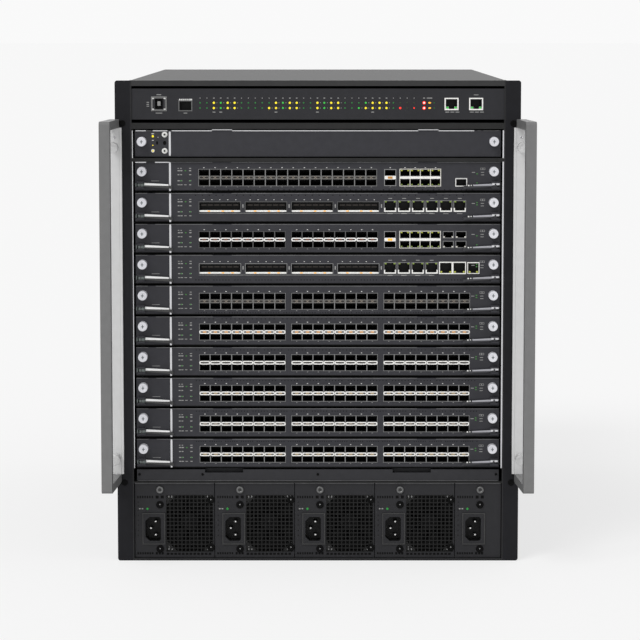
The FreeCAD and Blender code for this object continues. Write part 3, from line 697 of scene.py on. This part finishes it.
def cage(number, tag, left, count, pitch, line, bracket, latch, crossed=False):
    """Cages, brackets and latches of one ganged block in two rows."""
    place = on(f"card_{number}", card_front, tag, level_of(f"line_card_{number}"))
    block = [(left + jack_width / 2 + pitch * (count - 1) / 2, jack_centre)]
    rim = (pitch - jack_width) / 2
    sleeve = lattice_stamp("sleeve_stamp", pitch, block_tall + rim * 2, rim, 0.2, count)
    place("sleeve", sleeve, block, 1, sleeve_black, "fan_plastic")
    walls = lattice_stamp("cage_stamp", pitch, block_tall + rim * 2, 0.42, 0.35, count)
    place("cage", walls, block, 1, line, "bright_plate")
    spots = [(x, jack_centre) for x in columns_of(left, count, pitch, jack_width)]
    place("brackets", bracket, spots)
    if crossed:
        place("springs", cross, spots, 1, latch)
    else:
        place("latches", bar, [(x, z, 4.2, 2.0) for x, z in spots], 0.8, latch)


STYLES = {
    "03": (cage_dark, white_bracket, latch_red),
    "05": (cage_grey, dull_bracket, latch_brown, True),
    "06": (cage_grey, white_bracket, latch_amber),
    "07": (cage_grey, white_bracket, latch_dark),
    "08": (cage_grey, white_bracket, latch_sand),
    "09": (cage_grey, white_bracket, latch_brown),
    "10": (cage_grey, white_bracket, latch_sand),
}
GROUPS = {**dict.fromkeys(STYLES, 3), "03": 2}
for number, style in STYLES.items():
    for group in range(GROUPS[number]):
        left = jack_left + group_pitch * group
        cage(number, f"_{number}_{group + 1}", left, 8, jack_pitch, *style)
cage("01", "_01", jack_left, 16, dense_pitch, cage_grey, dull_bracket, latch_brown, True)
print("cages on", len(STYLES) + 1, "cards")

# %% [markdown]
# ## Combined sockets
# Two cards carry a stacked pair with a yellow latch and a block of eight network sockets in a cream
# frame. The frame is a lattice of four tall openings with a thicker one round the outside. A white bar
# parts them into two rows, and a small lamp sits in the corners of each socket.

# %% Lamps and marks
lamp_green = lamp("lamp_green", (0.03, 0.42, 0.05), 0.35)
lamp_label = lamp("lamp_label", (0.06, 0.22, 0.05), 0.2)
lamp_olive = lamp("lamp_olive", (0.2, 0.27, 0.06), 0.2)
lamp_dim = lamp("lamp_dim", (0.015, 0.14, 0.03), 0.25)
lamp_off = lamp("lamp_off", (0.03, 0.05, 0.02), 0.05)
lamp_yellow = lamp("lamp_yellow", (0.85, 0.68, 0.02), 0.5)
lamp_lime = lamp("lamp_lime", (0.36, 0.38, 0.06), 0.2)
lamp_red = lamp("lamp_red", (0.9, 0.03, 0.02), 0.9)
lamp_core = lamp("lamp_core", (0.95, 0.75, 0.7), 0.8)
lamp_supply = lamp("lamp_supply", (0.01, 0.2, 0.03), 0.3)
lamp_amber = lamp("lamp_amber", (0.95, 0.45, 0.04), 0.4)
mark_grey = paint("mark_grey", 0.3, 0.98)
mark_pale = paint("mark_pale", 0.62, 0.98)
print("lamps and marks ready")


# %% Uplink block and stacked pair
pair_x = 79.9 + 12.6 / 2
uplink_left = 98.4
uplink_pitch = 12.15
uplink_width = 10.8
uplink_columns = columns_of(uplink_left, 4, uplink_pitch, uplink_width)


def uplinks(number, centre_finish):
    """The stacked pair and the block of eight on one card."""
    place = on_card(number)
    z = jack_centre
    outer = lattice_stamp("pair_stamp", 14.4, block_tall + 1.8, 0.8, 0.35)
    place("pair_frame", outer, [(pair_x, z)], 1, cage_grey, "bright_plate")
    place("pair_bar", bar, [(pair_x, z, 13.2, 4.2)], 0.6, bracket_white)
    place("pair_latch", bar, [(pair_x, z, 5.6, 2.8)], 0.8, centre_finish)
    middle = uplink_left + (uplink_pitch * 3 + uplink_width) / 2
    frame_tall = block_tall + 2.2
    inner = lattice_stamp("uplink_stamp", uplink_pitch, frame_tall, 0.42, 0.5, 4)
    place("uplink_walls", inner, [(middle, z)], 1, cage_cream)
    border = lattice_stamp("border_stamp", uplink_pitch * 4 + 1.0, frame_tall + 0.4, 0.75, 0.6)
    place("uplink_border", border, [(middle, z)], 1, cage_cream)
    place("uplink_bar", bar, [(middle, z, uplink_pitch * 4, 3.0)], 0.7, bracket_white)
    corners = [x + side * 3.9 for x in uplink_columns for side in (-1, 1)]
    place("uplink_lime", bead, [(x, z + 8.5, 2.6, 1.7) for x in corners], 0.75, lamp_lime)
    place("uplink_green", bead, [(x, z - 8.3, 2.2, 1.5) for x in corners], 0.75, lamp_olive)


uplinks("01", latch_amber)
uplinks("03", lamp_amber)
print("uplinks on two cards")

# %% Single and small sockets
place = on_card("01")
frame_stamp = lattice_stamp("service_frame", 14.0, 9.6, 0.85, 0.5)
place("service_frame", frame_stamp, [(170.9, 10.6)], 1, bracket_white)
place("service_top", bar, [(170.9, 15.3, 13.6, 1.2)], 0.7, mark_pale)
place = on_card("03")
frame_stamp = lattice_stamp("small_frame", 12.9, 8.4, 0.55, 0.4)
small_places = [(x, z) for x in (155.7, 170.9) for z in (10.6, 22.2)]
place("small_frames", frame_stamp, small_places, 1, cage_grey)
corner_places = [(x + side * 5.0, z - 2.7, 1.9, 1.5) for x, z in small_places for side in (-1, 1)]
place("small_corners", bar, corner_places, 0.6, cage_cream)
print("single sockets framed")

# %% [markdown]
# ## Wide bays
# The second and fourth cards take four wide modules. Each bay has a thin light edge, a white bar along
# its foot with a few amber spots where the contacts show, and a row of numbered marks above.

# %% Bays and their network sockets
bay_pitch = 55.1
bay_width = 48.9


def bays(number, edge_finish):
    """Edges, foot bars and spots of the four bays of one card."""
    place = on_card(number)
    middles = columns_of(jack_left, 4, bay_pitch, bay_width)
    edge = lattice_stamp("bay_stamp", 50.4, 12.0, 0.6, 0.4)
    place("bay_edges", edge, [(x, 18.8) for x in middles], 1, edge_finish, "bright_plate")
    place("bay_feet", bar, [(x, 13.5, 48.4, 2.0) for x in middles], 0.7, bracket_white)
    spots = [(x + shift, 13.5, 3.0, 1.2) for x in middles for shift in (-13, 3.5, 15)]
    place("bay_spots", bar, spots, 0.9, lamp_amber)
    shifts = (-19, -11.4, -3.8, 3.8, 11.4, 19)
    ribs = [(x + shift, 20.5, 6.2, 1.6) for x in middles for shift in shifts]
    place("bay_contacts", bar, ribs, 0.6, bay_brown, back=3)
    dots = [(x + shift, 27.0, 1.3, 0.8) for x in middles for shift in (-19, -9.5, 0, 9.5, 19)]
    place("bay_marks", bar, dots, ink, mark_pale)
    gaps = [(x + bay_pitch / 2, 19.5, 1.4, 4.2) for x in middles]
    place("bay_gaps", bar, gaps, ink, mark_grey)
    place("bay_line", bar, [(-2.5, 10.9, 279, 0.5)], ink, mark_grey)


def network_row(number, count):
    """White feet, thin sides and corner lamps of the single sockets of one card."""
    place = on_card(number)
    middles = columns_of(79.6, count, 16.6, 13.4)
    sides = lattice_stamp("network_stamp", 15.0, 13.4, 0.55, 0.4)
    place("network_sides", sides, [(x, 19.4) for x in middles], 1, cage_grey, "bright_plate")
    place("network_feet", bar, [(x, 13.3, 14.4, 1.5) for x in middles], 0.6, bracket_white)
    steps = [(x + side * 6.5, 15.6, 1.3, 3.4) for x in middles for side in (-1, 1)]
    place("network_steps", bar, steps, 0.5, bracket_white)
    lamps = [(x + side * 5.3, 24.6, 2.6, 1.7) for x in middles for side in (-1, 1)]
    place("network_lamps", bead, lamps, 0.7, lamp_olive)
    labels = [(x, 28.6, 4.6, 0.8) for x in middles] + [(x, 10.4, 6.5, 0.6) for x in middles]
    place("network_marks", bar, labels, ink, mark_grey)


bays("02", cage_dark)
bays("04", cage_grey)
network_row("02", 6)
network_row("04", 4)
place = on_card("04")
frame_stamp = lattice_stamp("double_frame", 16.2, 14.6, 1.1, 0.6, 2)
place("double_frame", frame_stamp, [(161.0, 19.4)], 1, bracket_white)
frame_stamp = lattice_stamp("last_frame", 14.4, 14.0, 0.8, 0.6)
place("last_frame", frame_stamp, [(185.9, 19.4)], 1, bracket_white)
tops = [(161.0, 26.2, 32.0, 1.2), (185.9, 25.8, 13.8, 1.2)]
place("frame_tops", bar, tops, 0.8, bracket_white)
double_lamps = [(x, 14.6, 2.8, 2.4) for x in (147.6, 158.4, 163.8, 174.6, 181.4, 190.4)]
place("frame_lamps", bead, double_lamps, 0.75, lamp_lime)
print("bays and network sockets placed")

# %% [markdown]
# ## Lamps, labels and vent dots
# The printed labels become short plain bars, in the places where the real ones stand. Lamps are the
# small domed bead. Rows of pin holes run along the upper edge of the lower cards.

# %% Label columns of every card
LABEL_ROWS = [(27.4, 4.4, 0.9), (24.6, 6.2, 1.3), (19.8, 5.2, 1.1), (12.6, 5.8, 1.2), (7.8, 6.2, 1.0)]
loops = lattice_stamp("loop_stamp", 2.8, 2.4, 0.4, ink, 2)
for number in CARDS:
    place = on_card(number)
    marks = []
    for z, wide, tall in LABEL_ROWS:
        marks += [(start + wide / 4, z, wide / 2 - 0.4, tall) for start in (-167.4, -164.2)]
        marks.append((-152.2, z, 2.6, tall))
    marks += [(-158.0, 7.8, 3.0, 0.8), (-194.0, 12.4, 9.5, 0.5)]
    marks += [(x, z, 3.8, 0.8) for x, z in ((196.2, 22.6), (196.2, 19.6), (185.4, 22.6))]
    place("marks", bar, marks, ink, mark_grey)
    place("loops", loops, [(196.5, 26.8)], 1, mark_grey)
    lit = [(-157.8, 24.6), (189.8, 20.9), (189.8, 10.0 if number in ("01", "03") else 23.6)]
    lit += [(-163.0, 12.6), (-152.2, 12.6)]
    place("lamps", bead, [(x, z, 2.1, 1.2) for x, z in lit], 0.4, lamp_label)
print("labels on", len(CARDS), "cards")


# %% Port marks and vent dots
def port_marks(number, places):
    """A mark above and a fainter one below each column of sockets."""
    place = on_card(number)
    above = [(x, 28.2, 1.5, 0.9) for x in places]
    below = [(x, 5.2, 1.2, 0.7) for x in places]
    place("port_marks", bar, above, ink, mark_pale)
    place("foot_marks", bar, below, ink, mark_grey)


def dot_row(z, start, end, pitch):
    """Pin holes along a row; every seventh place is left out, as the rows are broken."""
    count = int((end - start) / pitch)
    return [(start + pitch * index, z, 1.25, 1.25) for index in range(count) if index % 7 != 5]


columns = columns_of(jack_left, 8, jack_pitch, jack_width)
for number, groups in GROUPS.items():
    port_marks(number, [x + group_pitch * group for group in range(groups) for x in columns])
dense = columns_of(jack_left, 16, dense_pitch, jack_width)
port_marks("01", dense + [pair_x] + uplink_columns)
VENTS = {"01": (1.9, 6.6), "02": (32.4, 8.2), "04": (5.0, 3.6), "05": (2.6, 3.1), "06": (32.2, 5.2),
    "07": (31.8, 4.1), "08": (31.8, 3.8), "09": (31.8, 3.4), "10": (32.2, 2.7)}
for number, (z, pitch) in VENTS.items():
    on_card(number)("vents", bead, dot_row(z, -146.0, 196.0, pitch), 0.08, hole_and_shadow_black)
print("port marks and vents placed")

# %% [markdown]
# ## Lever grips
# The left levers are white with a dark rounded grip at the pivot, the right ones are pressed steel with
# a paler end. These colours sit on sleeves over the upper part of each lever, and the CAD lever bodies
# under them are painted dark, as painted shade on their undersides. A grip is a short cylinder with
# bevelled ends; the sleeve is a block whose far end is scaled down, so that the lever tapers towards its
# hook.

# %% Grip and sleeve
grip_grey = plastic("grip_grey", (0.11, 0.13, 0.125), 0.3, 0.6)
sleeve_steel = metal("sleeve_steel", 0.42, 0.32, 1.08, stretch=(8, 1, 1))
lever_plane = card_front - 3.5


def grip_stamp():
    """A capsule lying along X."""
    deselect()
    bpy.ops.mesh.primitive_cylinder_add(vertices=14, radius=2.8 * MM, depth=7.9 * MM,
        rotation=(0, radians(90), 0))
    bpy.context.object.scale = (1.12, 1, 1)
    piece = settle("grip_stamp")
    pick_faces(piece, lambda centre, normal: abs(normal.x) > 0.99)
    bpy.ops.mesh.bevel(offset=1.9 * MM, segments=3)
    return keep_stamp(piece)


def sleeve_stamp():
    """A bar 29 mm long that gets thinner and lower towards +X."""
    deselect()
    bpy.ops.mesh.primitive_cube_add(size=MM, scale=(29.0, 3.2, 2.9))
    piece = settle("sleeve_stamp")
    pick_faces(piece, lambda centre, normal: normal.x > 0.99)
    bpy.ops.transform.resize(value=(1, 0.9, 0.66))
    bpy.ops.transform.translate(value=(0, 0, -1.2 * MM))
    bpy.ops.mesh.select_all(action="SELECT")
    bpy.ops.mesh.bevel(offset=0.5 * MM, segments=2)
    return keep_stamp(piece)


grip = grip_stamp()
sleeve = sleeve_stamp()
for number in CARDS:
    z = lever_height
    level = level_of(f"line_card_{number}")
    left = on(f"lever_left_{number}", lever_plane, f"_{number}", level)
    right = on(f"lever_right_{number}", lever_plane, f"_{number}", level)
    left("grip", grip, [(-pivot_x + 0.65, z)], 1, grip_grey, back=-0.3)
    on_card(number)("lever_stop", bar, [(-pivot_x - 5.0, z, 1.4, 4.6)], 5.6, grip_grey)
    left("sleeve_left", sleeve, [(-192.2, z + 1.0)], 1, lever_white, "lever_metal")
    mirrored = right("sleeve_right", sleeve, [(-199.5, z + 0.6)], 1, sleeve_steel, "lever_metal")
    mirrored.data.transform(Matrix.Scale(-1, 4, Vector((1, 0, 0))))
    mirrored.data.flip_normals()
    right("lever_tab", bar, [(pivot_x + 0.6, z + 1.2, 9.0, 2.6)], 1.6, bright_metal_and_highlight, back=-1.2)
    hook = [(179.6, z - 0.6, 1.8, 1.5), (182.6, z - 0.4, 1.3, 1.2)]
    right("lever_hook", bar, hook, 0.8, cap_white, back=-1.2)
print("grips and sleeves on", len(CARDS) * 2, "levers")

# %% [markdown]
# ## Management module
# The blank module at the top has a painted highlight along its lit upper edge, raised where two tabs
# lock over it, a bright strip like the cards', also a painted highlight, and a small control field with
# two ringed buttons, a socket and lamps.

# %% Module edge and controls
edge_z = 30.7
place = on("management", card_front, level=manager_level)
edge_highlights = [(-217.0, -204.5), (-196.5, -179.0), (-174.0, -125.8), (-102.0, 119.5), (143.5, 186.0)]
tabs = [(-125.8, -102.0), (119.5, 143.5)]
ends = [(-203.5, -198.0), (190.0, 194.0), (197.0, 216.0)]
# Bright lines along the upper edge, raised at the tabs: painted highlight of the lit top edge.
place("manager_seam", bar, highlight_bars(edge_highlights, edge_z, 1.1), 0.4, bright_metal_and_highlight, "bright_plate")
place("manager_tabs", bar, highlight_bars(tabs, edge_z + 1.2, 1.0), 0.6, bright_metal_and_highlight, "bright_plate", -0.2)
place("manager_ends", bar, highlight_bars(ends, edge_z, 0.8), 0.3, edge_highlight_paint)
# Painted highlight on the edge of a faceplate step, as on the cards.
place("manager_strip", bar, [(strip_x, 15.4, 2.4, 28.6)], 0.5, bright_metal_and_highlight, "bright_plate")
ring_x = -card_half + 35.5


def ring_stamp(name, outer, hole, tall, material):
    """A flat ring with a bevelled rim: a cylinder whose front is inset and opened."""
    piece = disc(name, 18, outer, tall, material)
    pick_faces(piece, front_face)
    bpy.ops.mesh.bevel(offset=0.25 * MM, segments=1)
    bpy.ops.object.mode_set(mode="OBJECT")
    pick_faces(piece, front_face)
    bpy.ops.mesh.inset(thickness=(outer - hole - 0.25) * MM)
    bpy.ops.mesh.delete(type="FACE")
    return keep_stamp(piece)


ring = ring_stamp("button_ring", 3.4, 2.15, 0.9, cap_white)
small_ring = ring_stamp("lamp_ring", 2.1, 1.2, 0.7, cap_white)
BUTTONS = {"upper": 26.2, "lower": 6.8}
place("button_rings", ring, [(ring_x, z) for z in BUTTONS.values()], slot="button_plastic")
for name, z in BUTTONS.items():
    mark = on(f"{name}_button", card_front - 1.6, f"_{name}", manager_level)
    mark("button_mark", bead, [(ring_x, z, 2.3, 2.3)], 0.4, sleeve_black)
sockets = [(ring_x, 16.3, 4.0, 5.2), (-191.3, 16.3, 2.4, 4.2)]
lamps = [(-196.4, 24.2, 2.8, 2.8), (-196.4, 13.4, 1.6, 1.2)]
marks = [(-196.4, 27.2, 3.0, 1.2), (-196.4, 19.2, 2.2, 0.9), (-190.2, 23.0, 1.2, 0.6)]
place("manager_socket", bead, sockets, 0.3, hole_and_shadow_black)
place("manager_lamps", bead, lamps, 0.6, lamp_yellow)
place("manager_marks", bar, marks, ink, mark_pale)
place("lamp_ring_manager", small_ring, [(-196.4, 6.9)])
place("ring_lamp_manager", bead, [(-196.2, 6.7, 1.7, 2.0)], 0.6, lamp_yellow)
place("ring_dots_manager", bead, [(-216.0, 28.6, 0.9, 0.9)], 0.2, hole_and_shadow_black)
print("management module dressed")

# %% [markdown]
# ## Status panel
# Two rows of lamps run across the panel, one column for each slot and fan the chassis can report. Each
# letter below is one lamp: green, bright green, yellow, red or dark. Bright metal frames stand round
# the four jacks.

# %% Lamp rows
lamp_left = -139.9
lamp_pitch = 8.2
ROWS = {19.8: "ggYGYYgggggYGYYggYGYYgggGYYYgddd", 13.6: "ggYGYYggggYYGYYggYGYYggGYYYYgRdr"}
KINDS = {"g": ("dim", lamp_dim, 2.0), "G": ("green", lamp_green, 2.4), "Y": ("yellow", lamp_yellow, 2.7),
    "d": ("off", lamp_off, 1.7), "R": ("red", lamp_red, 2.7), "r": ("small_red", lamp_red, 1.7)}
place = on("chassis", status_front, level=level_of("status_panel"))
cells = [(lamp_left + lamp_pitch * column, z, row[column]) for z, row in ROWS.items()
    for column in range(len(row))]
for letter, (name, lens, size) in KINDS.items():
    spots = [(x, z, size, size) for x, z, kind in cells if kind == letter]
    place(f"status_{name}", bead, spots, 0.5, lens)
alarm_x = lamp_left + lamp_pitch * 32 + 3.7
place("status_alarm", bead, [(alarm_x, z, 4.0, 4.0) for z in ROWS], 0.8, lamp_red)
place("status_core", bead, [(alarm_x, z, 2.0, 2.0) for z in ROWS], 0.5, lamp_core, back=-0.6)
place("status_amber", bead, [(alarm_x + 6.6, z, 3.4, 2.2) for z in ROWS], 0.5, lamp_amber)
place("status_last", bead, [(alarm_x + 12.0, z, 1.5, 1.3) for z in ROWS], 0.4, lamp_dim)
heads = [(x, 25.4, 1.9 if kind in "GY" else 1.1, 1.0) for x, z, kind in cells if z == 19.8]
links = [(x + 3.6, z, 0.8, 0.8) for x, z, kind in cells if kind in "GY"]
feet = [(lamp_left + lamp_pitch * index, 8.8, 3.4, 1.0) for index in (2, 3, 11, 17, 25)]
words = [(alarm_x + 6.4, 25.4, 6.6, 1.1), (alarm_x, 25.4, 2.2, 1.2)]
place("status_marks", bar, heads + links + feet + words, ink, mark_grey)
print("lamps on the status panel:", len(cells) + 6)

# %% Frames of the status jacks
service_x = -188.8
console_x = -157.4
service = [(service_x, 18.6)]
outer = lattice_stamp("service_stamp", 17.4, 16.2, 1.7, 0.9)
edge = lattice_stamp("edge_stamp", 18.4, 17.2, 0.7, 0.5)
place("service_frame", outer, service, 1, cage_dark, "bright_plate")
place("service_edge", edge, service, 1, mark_grey, "bright_plate")
corners = [(service_x + side * 6.9, 18.6 + up * 6.4, 2.4, 1.6) for side in (-1, 1) for up in (-1, 1)]
place("service_corners", bar, corners, 1.1, mark_pale)
place("service_tongue", bar, [(service_x, 18.8, 3.8, 5.4)], 3.6, mark_grey, back=4)
console = lattice_stamp("console_stamp", 16.6, 13.0, 1.2, 0.5)
place("console_frame", console, [(console_x, 16.3)], 1, cage_dark, "bright_plate")
teeth = [(console_x + shift, 23.6, 1.9, 1.8) for shift in (-6.6, -4.2, -1.8, 0.6, 3.0, 5.4, 7.2)]
place("console_teeth", bar, teeth, 0.6, mark_pale)
network_middles = [158.8, 188.0]
network = lattice_stamp("network_frame", 16.6, 14.6, 1.4, 0.7)
place("network_frames", network, [(x, 18.4) for x in network_middles], 1, bracket_white)
notches = [(x + side * 4.9, 13.6, 3.0, 3.2) for x in network_middles for side in (-1, 1)]
place("network_feet", bar, notches, 0.6, bracket_white)
corner_lamps = [(x + side * 4.9, 14.0, 3.2, 2.4) for x in network_middles for side in (-1, 1)]
place("network_lamps", bead, corner_lamps, 1.0, lamp_green)
labels = [(x + shift, 8.8, 4.6, 0.9) for x in network_middles for shift in (-5, 1, 7)]
labels += [(service_x, 29.4, 5.6, 0.9), (service_x, 7.6, 8.0, 0.9), (console_x, 7.6, 4.4, 0.9),
    (188.0, 29.2, 5.6, 0.7)]
labels += [(-202.0, z, 3.0, 0.8) for z in (15.8, 18.0, 20.4)]
place("jack_marks", bar, labels, ink, mark_grey)
print("status jacks framed")

# %% [markdown]
# ## Filter tray, painted wall edges and handles
# The tray has only four small screws and a pale line along its foot, a painted highlight. Two bright
# strips run down inside the side walls, a painted highlight on the lit front edges of the walls, and the
# light flanges of the handles carry a boss and a small screw each.

# %% Tray, painted wall edge highlights and handle parts
place = on("tray", card_front, level=level_of("filter_tray"))
screws = [(x, 8.0) for x in (-215.0, -138.9, 0.0, 214.5)]
place("tray_screws", small_head, screws, material=screw_and_shade_black)
# A pale line along the foot of the tray: painted highlight of its lower edge.
place("tray_line", bar, [(0, 0.4, card_half * 2 - 2, 0.7)], 0.2, edge_highlight_paint)
# Bright strips inside the side walls: painted highlight on the lit front edges of the walls, wider at
# the right.
highlight_low = level_of("line_card_10")
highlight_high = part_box("management_module")[1].z / MM
inner_x = 220.6
highlight_z = (highlight_low + highlight_high) / 2
wall_edge_highlights = [(x, highlight_z, wide, highlight_high - highlight_low) for x, wide in ((-inner_x, 0.9), (inner_x, 1.7))]
copies("wall_edge_highlights", bar, wall_edge_highlights, "chassis", ear_front + 0.5, 0.5, bright_metal_and_highlight)
plate_low, plate_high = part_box("handle_plate_right")
plate_x = (plate_low.x + plate_high.x) / 2 / MM
plate_front = plate_low.y / MM
boss_z = [314 + side * 371.5 / 2 for side in (-1, 1)]
boss_pale = paint("boss_pale", 0.58, 1.0, roughness=0.35)
boss = head_stamp("boss_head", 24, 6.5, 12.6, boss_pale, boss_pale)
collar = head_stamp("boss_collar", 20, 4.4, 27.0, boss_pale, boss_pale)
plate_tall = (plate_high.z - plate_low.z) / MM
plate_middle = (plate_high.z + plate_low.z) / 2 / MM
plate_deep = (plate_high.y - plate_low.y) / MM
lip_wide = 3.2
lip_x = plate_low.x / MM - lip_wide / 2
hole_x = 465.12 / 2
# Black plugs fill the rack holes, which lie in shade behind the handles: their black is painted shade,
# their grey middle a painted glint.
hole_plug = head_stamp("hole_plug", 16, 3.9, 0.9, screw_and_shade_black, recess_and_glint_grey)
SIDES = ((-1, "left"), (1, "right"))
places = {name: on("chassis", ear_front, f"_{name}") for side, name in SIDES}
for side, name in SIDES:
    place = on("chassis", plate_front, f"_{name}")
    bosses = [(side * plate_x, z) for z in boss_z]
    place("boss", boss, bosses, back=-24.6)
    place("collar", collar, bosses)
    screws = [(side * plate_x, z) for z in (105.1, 510.8)]
    place("plate_screws", small_head, screws, material=bright_screw)
for side, name in SIDES:
    lip = [(side * lip_x, plate_middle, lip_wide, plate_tall)]
    places[name]("plate_lip", bar, lip, plate_deep, bright_plate, "bright_plate")
for side, name in SIDES:
    plugs = [(side * hole_x, z) for z in (95.25, 527.05)]
    places[name]("hole_plugs", hole_plug, plugs, material=screw_and_shade_black)
print("rails and handle parts placed")

# %% Screws of the side walls
wall_low, wall_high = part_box("side_wall_right")
near, far = wall_low.y / MM + 40, wall_high.y / MM - 12
steps = [near + (far - near) * step / 5 for step in range(6)]
rows = [(y, z) for y in (near, far) for z in (14, 150, 290, 430)] + [(y, 560) for y in steps]
wall_outside = wall_high.x / MM
screen_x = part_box("backplane")[1].x / MM - 0.6
for side, name in SIDES:
    screws = copies(f"wall_screws_{name}", small_head, [(side * y, z) for y, z in rows], "chassis",
        -wall_outside, 0.6, bright_screw)
    screen = copies(f"wall_screen_{name}", bar, [(side * -135.0, 277.5, 310.0, 325.0)], "chassis",
        -screen_x, 0.5, hole_and_shadow_black)
    for piece in (screws, screen):
        piece.data.transform(Matrix.Rotation(radians(side * 90), 4, "Z"))
print("side walls screwed on:", len(rows), "screws each")

# %% [markdown]
# ## Power modules
# Each supply has a wire guard over its fan, black socket screws, vents and one green lamp. The guard is
# a grid with one thin bar on every line, drawn as a lattice whose inner faces are cut out. Corner
# plates give the round fan opening its octagonal look.

# %% Power module finishes and places
power_low = level_of("power_module_1")
power_front = card_front
fan_wide = 55.7
fan_tall = 68.2
guard_x = 38.1 + fan_wide / 2
guard_z = 7.6 + fan_tall / 2
guard_wire = paint("guard_wire", 0.0095, roughness=0.45, specular=0.2)
corner_plate = paint("corner_plate", 0.035, specular=0.4)
corner_glint = metal("corner_glint", 0.32, 0.4)
blade_bright = metal("blade_bright", 0.9, 0.2, 0.98)
guard = lattice_stamp("guard_stamp", 56.9 / 12, 69.4 / 15, 0.6, 0.3, 12, 15)
bezel = lattice_stamp("bezel_rim", 27.5, 38.4, 1.2, 0.5)
for index in range(1, 6):
    low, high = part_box(f"power_module_{index}")
    left = low.x / MM
    wide = high.x / MM - left
    has_fan = index < 5
    place = on(f"power_{index}", power_front, f"_{index}", power_low, left)
    # A pale line across the top of each module: painted highlight of its lit upper edge.
    place("power_lip", bar, [(wide / 2, 90.6, wide - 0.4, 0.9)], 0.5, edge_highlight_paint)
    place("captive", captive_head, [(30.2, 83.0)], slot="bright_screw")
    screws = [(30.2, 64.6), (30.2, 10.6)] + [(91.6, 70.6), (91.6, 12.4)] * has_fan
    place("power_screws", black_head, screws)
    place("power_hex", bead, [(x, z + 0.4, 1.6, 1.6) for x, z in screws], 0.3, cage_grey, back=-1.5)
    place("power_lamp", bead, [(15.1, 59.6, 2.9, 2.9)], 0.6, lamp_supply)
    slots = [(3.6 + 2.9 * step, 73.9, 1.7, 3.0) for step in range(7)]
    slots += [(26.8, 73.9, 3.6, 3.6), (33.0, 73.9, 3.6, 3.6)]
    slots += [(3.6 + 2.9 * step, 5.1, 1.9, 2.6) for step in range(7)]
    slots += [(26.0 + 3.6 * step, 5.1, 2.6, 3.0) for step in range(3)]
    place("power_vents", bar, slots, 0.06, hole_and_shadow_black)
    pins = [(3.9, z, 1.2, 1.6) for z in (27.0, 33.0, 39.6, 45.6, 51.6, 58.0, 63.0, 67.6)]
    place("power_pins", bead, pins, 0.08, hole_and_shadow_black)
    place("power_marks", bar, [(5.8, 59.6, 2.0, 1.4), (9.0, 59.6, 2.0, 1.4)], ink, mark_grey)
    place("bezel_rim", bezel, [(9.1 + 27.1 / 2, 16.3 + 38.0 / 2)], 1, corner_plate, back=-1.2)
    blades = [(21.9 + shift, 35.1 + up, 1.9, 1.7) for shift, up in ((-3.0, 0), (2.8, 8.2), (2.8, -8.0))]
    place("blade_tips", bar, blades, 1, blade_bright, back=4.6)
    if has_fan:
        place("guard", guard, [(guard_x, guard_z)], 1, guard_wire)
        feet = [(39.6 + 4.6 * step, 4.4, 3.2, 2.6) for step in range(12)]
        place("foot_vents", bar, feet, 0.06, hole_and_shadow_black)
        place = on(f"fan_{index}", power_front + 8.4, f"_{index}", power_low, left)
        place("fan_dot", bead, [(guard_x - 0.6, guard_z + 1.0, 1.6, 1.6)], 0.5, mark_grey)
print("power modules dressed")


# %% Corner plates of the fans
def corner_plates(index):
    """Four triangles that turn a square fan opening into an octagon."""
    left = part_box(f"power_module_{index}")[0].x / MM
    made = []
    glints = []
    for side, up in ((-1, -1), (-1, 1), (1, -1), (1, 1)):
        x = left + guard_x + side * fan_wide / 2
        z = power_low + guard_z + up * fan_tall / 2
        glints += [(x - side * 2.6, z - up * 3.0, 1.6, 4.4), (x - side * 6.2, z - up * 2.0, 1.4, 3.0)]
        deselect()
        bpy.ops.mesh.primitive_cube_add(size=MM, scale=(17.0, 1.0, 17.0), rotation=(0, radians(45), 0))
        plate = settle("corner_plate", corner_plate)
        pick_faces(plate, front_face)
        bpy.ops.mesh.inset(thickness=0.9 * MM, depth=0.25 * MM)
        bpy.ops.mesh.select_all(action="SELECT")
        bpy.ops.transform.translate(value=Vector((x, power_front + 4.2, z)) * MM)
        for normal in ((side, 0, 0), (0, 0, up)):
            bpy.ops.mesh.select_all(action="SELECT")
            bpy.ops.mesh.bisect(plane_co=(x * MM, 0, z * MM), plane_no=normal, clear_outer=True,
                use_fill=True)
        bpy.ops.object.mode_set(mode="OBJECT")
        made.append(plate)
    deselect()
    for plate in made:
        plate.select_set(True)
    bpy.context.view_layer.objects.active = made[0]
    bpy.ops.object.join()
    piece = bpy.context.object
    piece.name = f"fan_corners_{index}"
    piece.data.name = piece.name
    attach(piece, f"power_{index}")
    copies(f"fan_glints_{index}", bar, glints, f"power_{index}", power_front + 3.4, 0.8, corner_glint)


for index in range(1, 5):
    corner_plates(index)
print("fan corners placed")

# %% Clear the stamps and finish
for stamp in stamps:
    bpy.data.objects.remove(stamp)
low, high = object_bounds()
print("model box", [round(v, 4) for v in (*low, *high)])
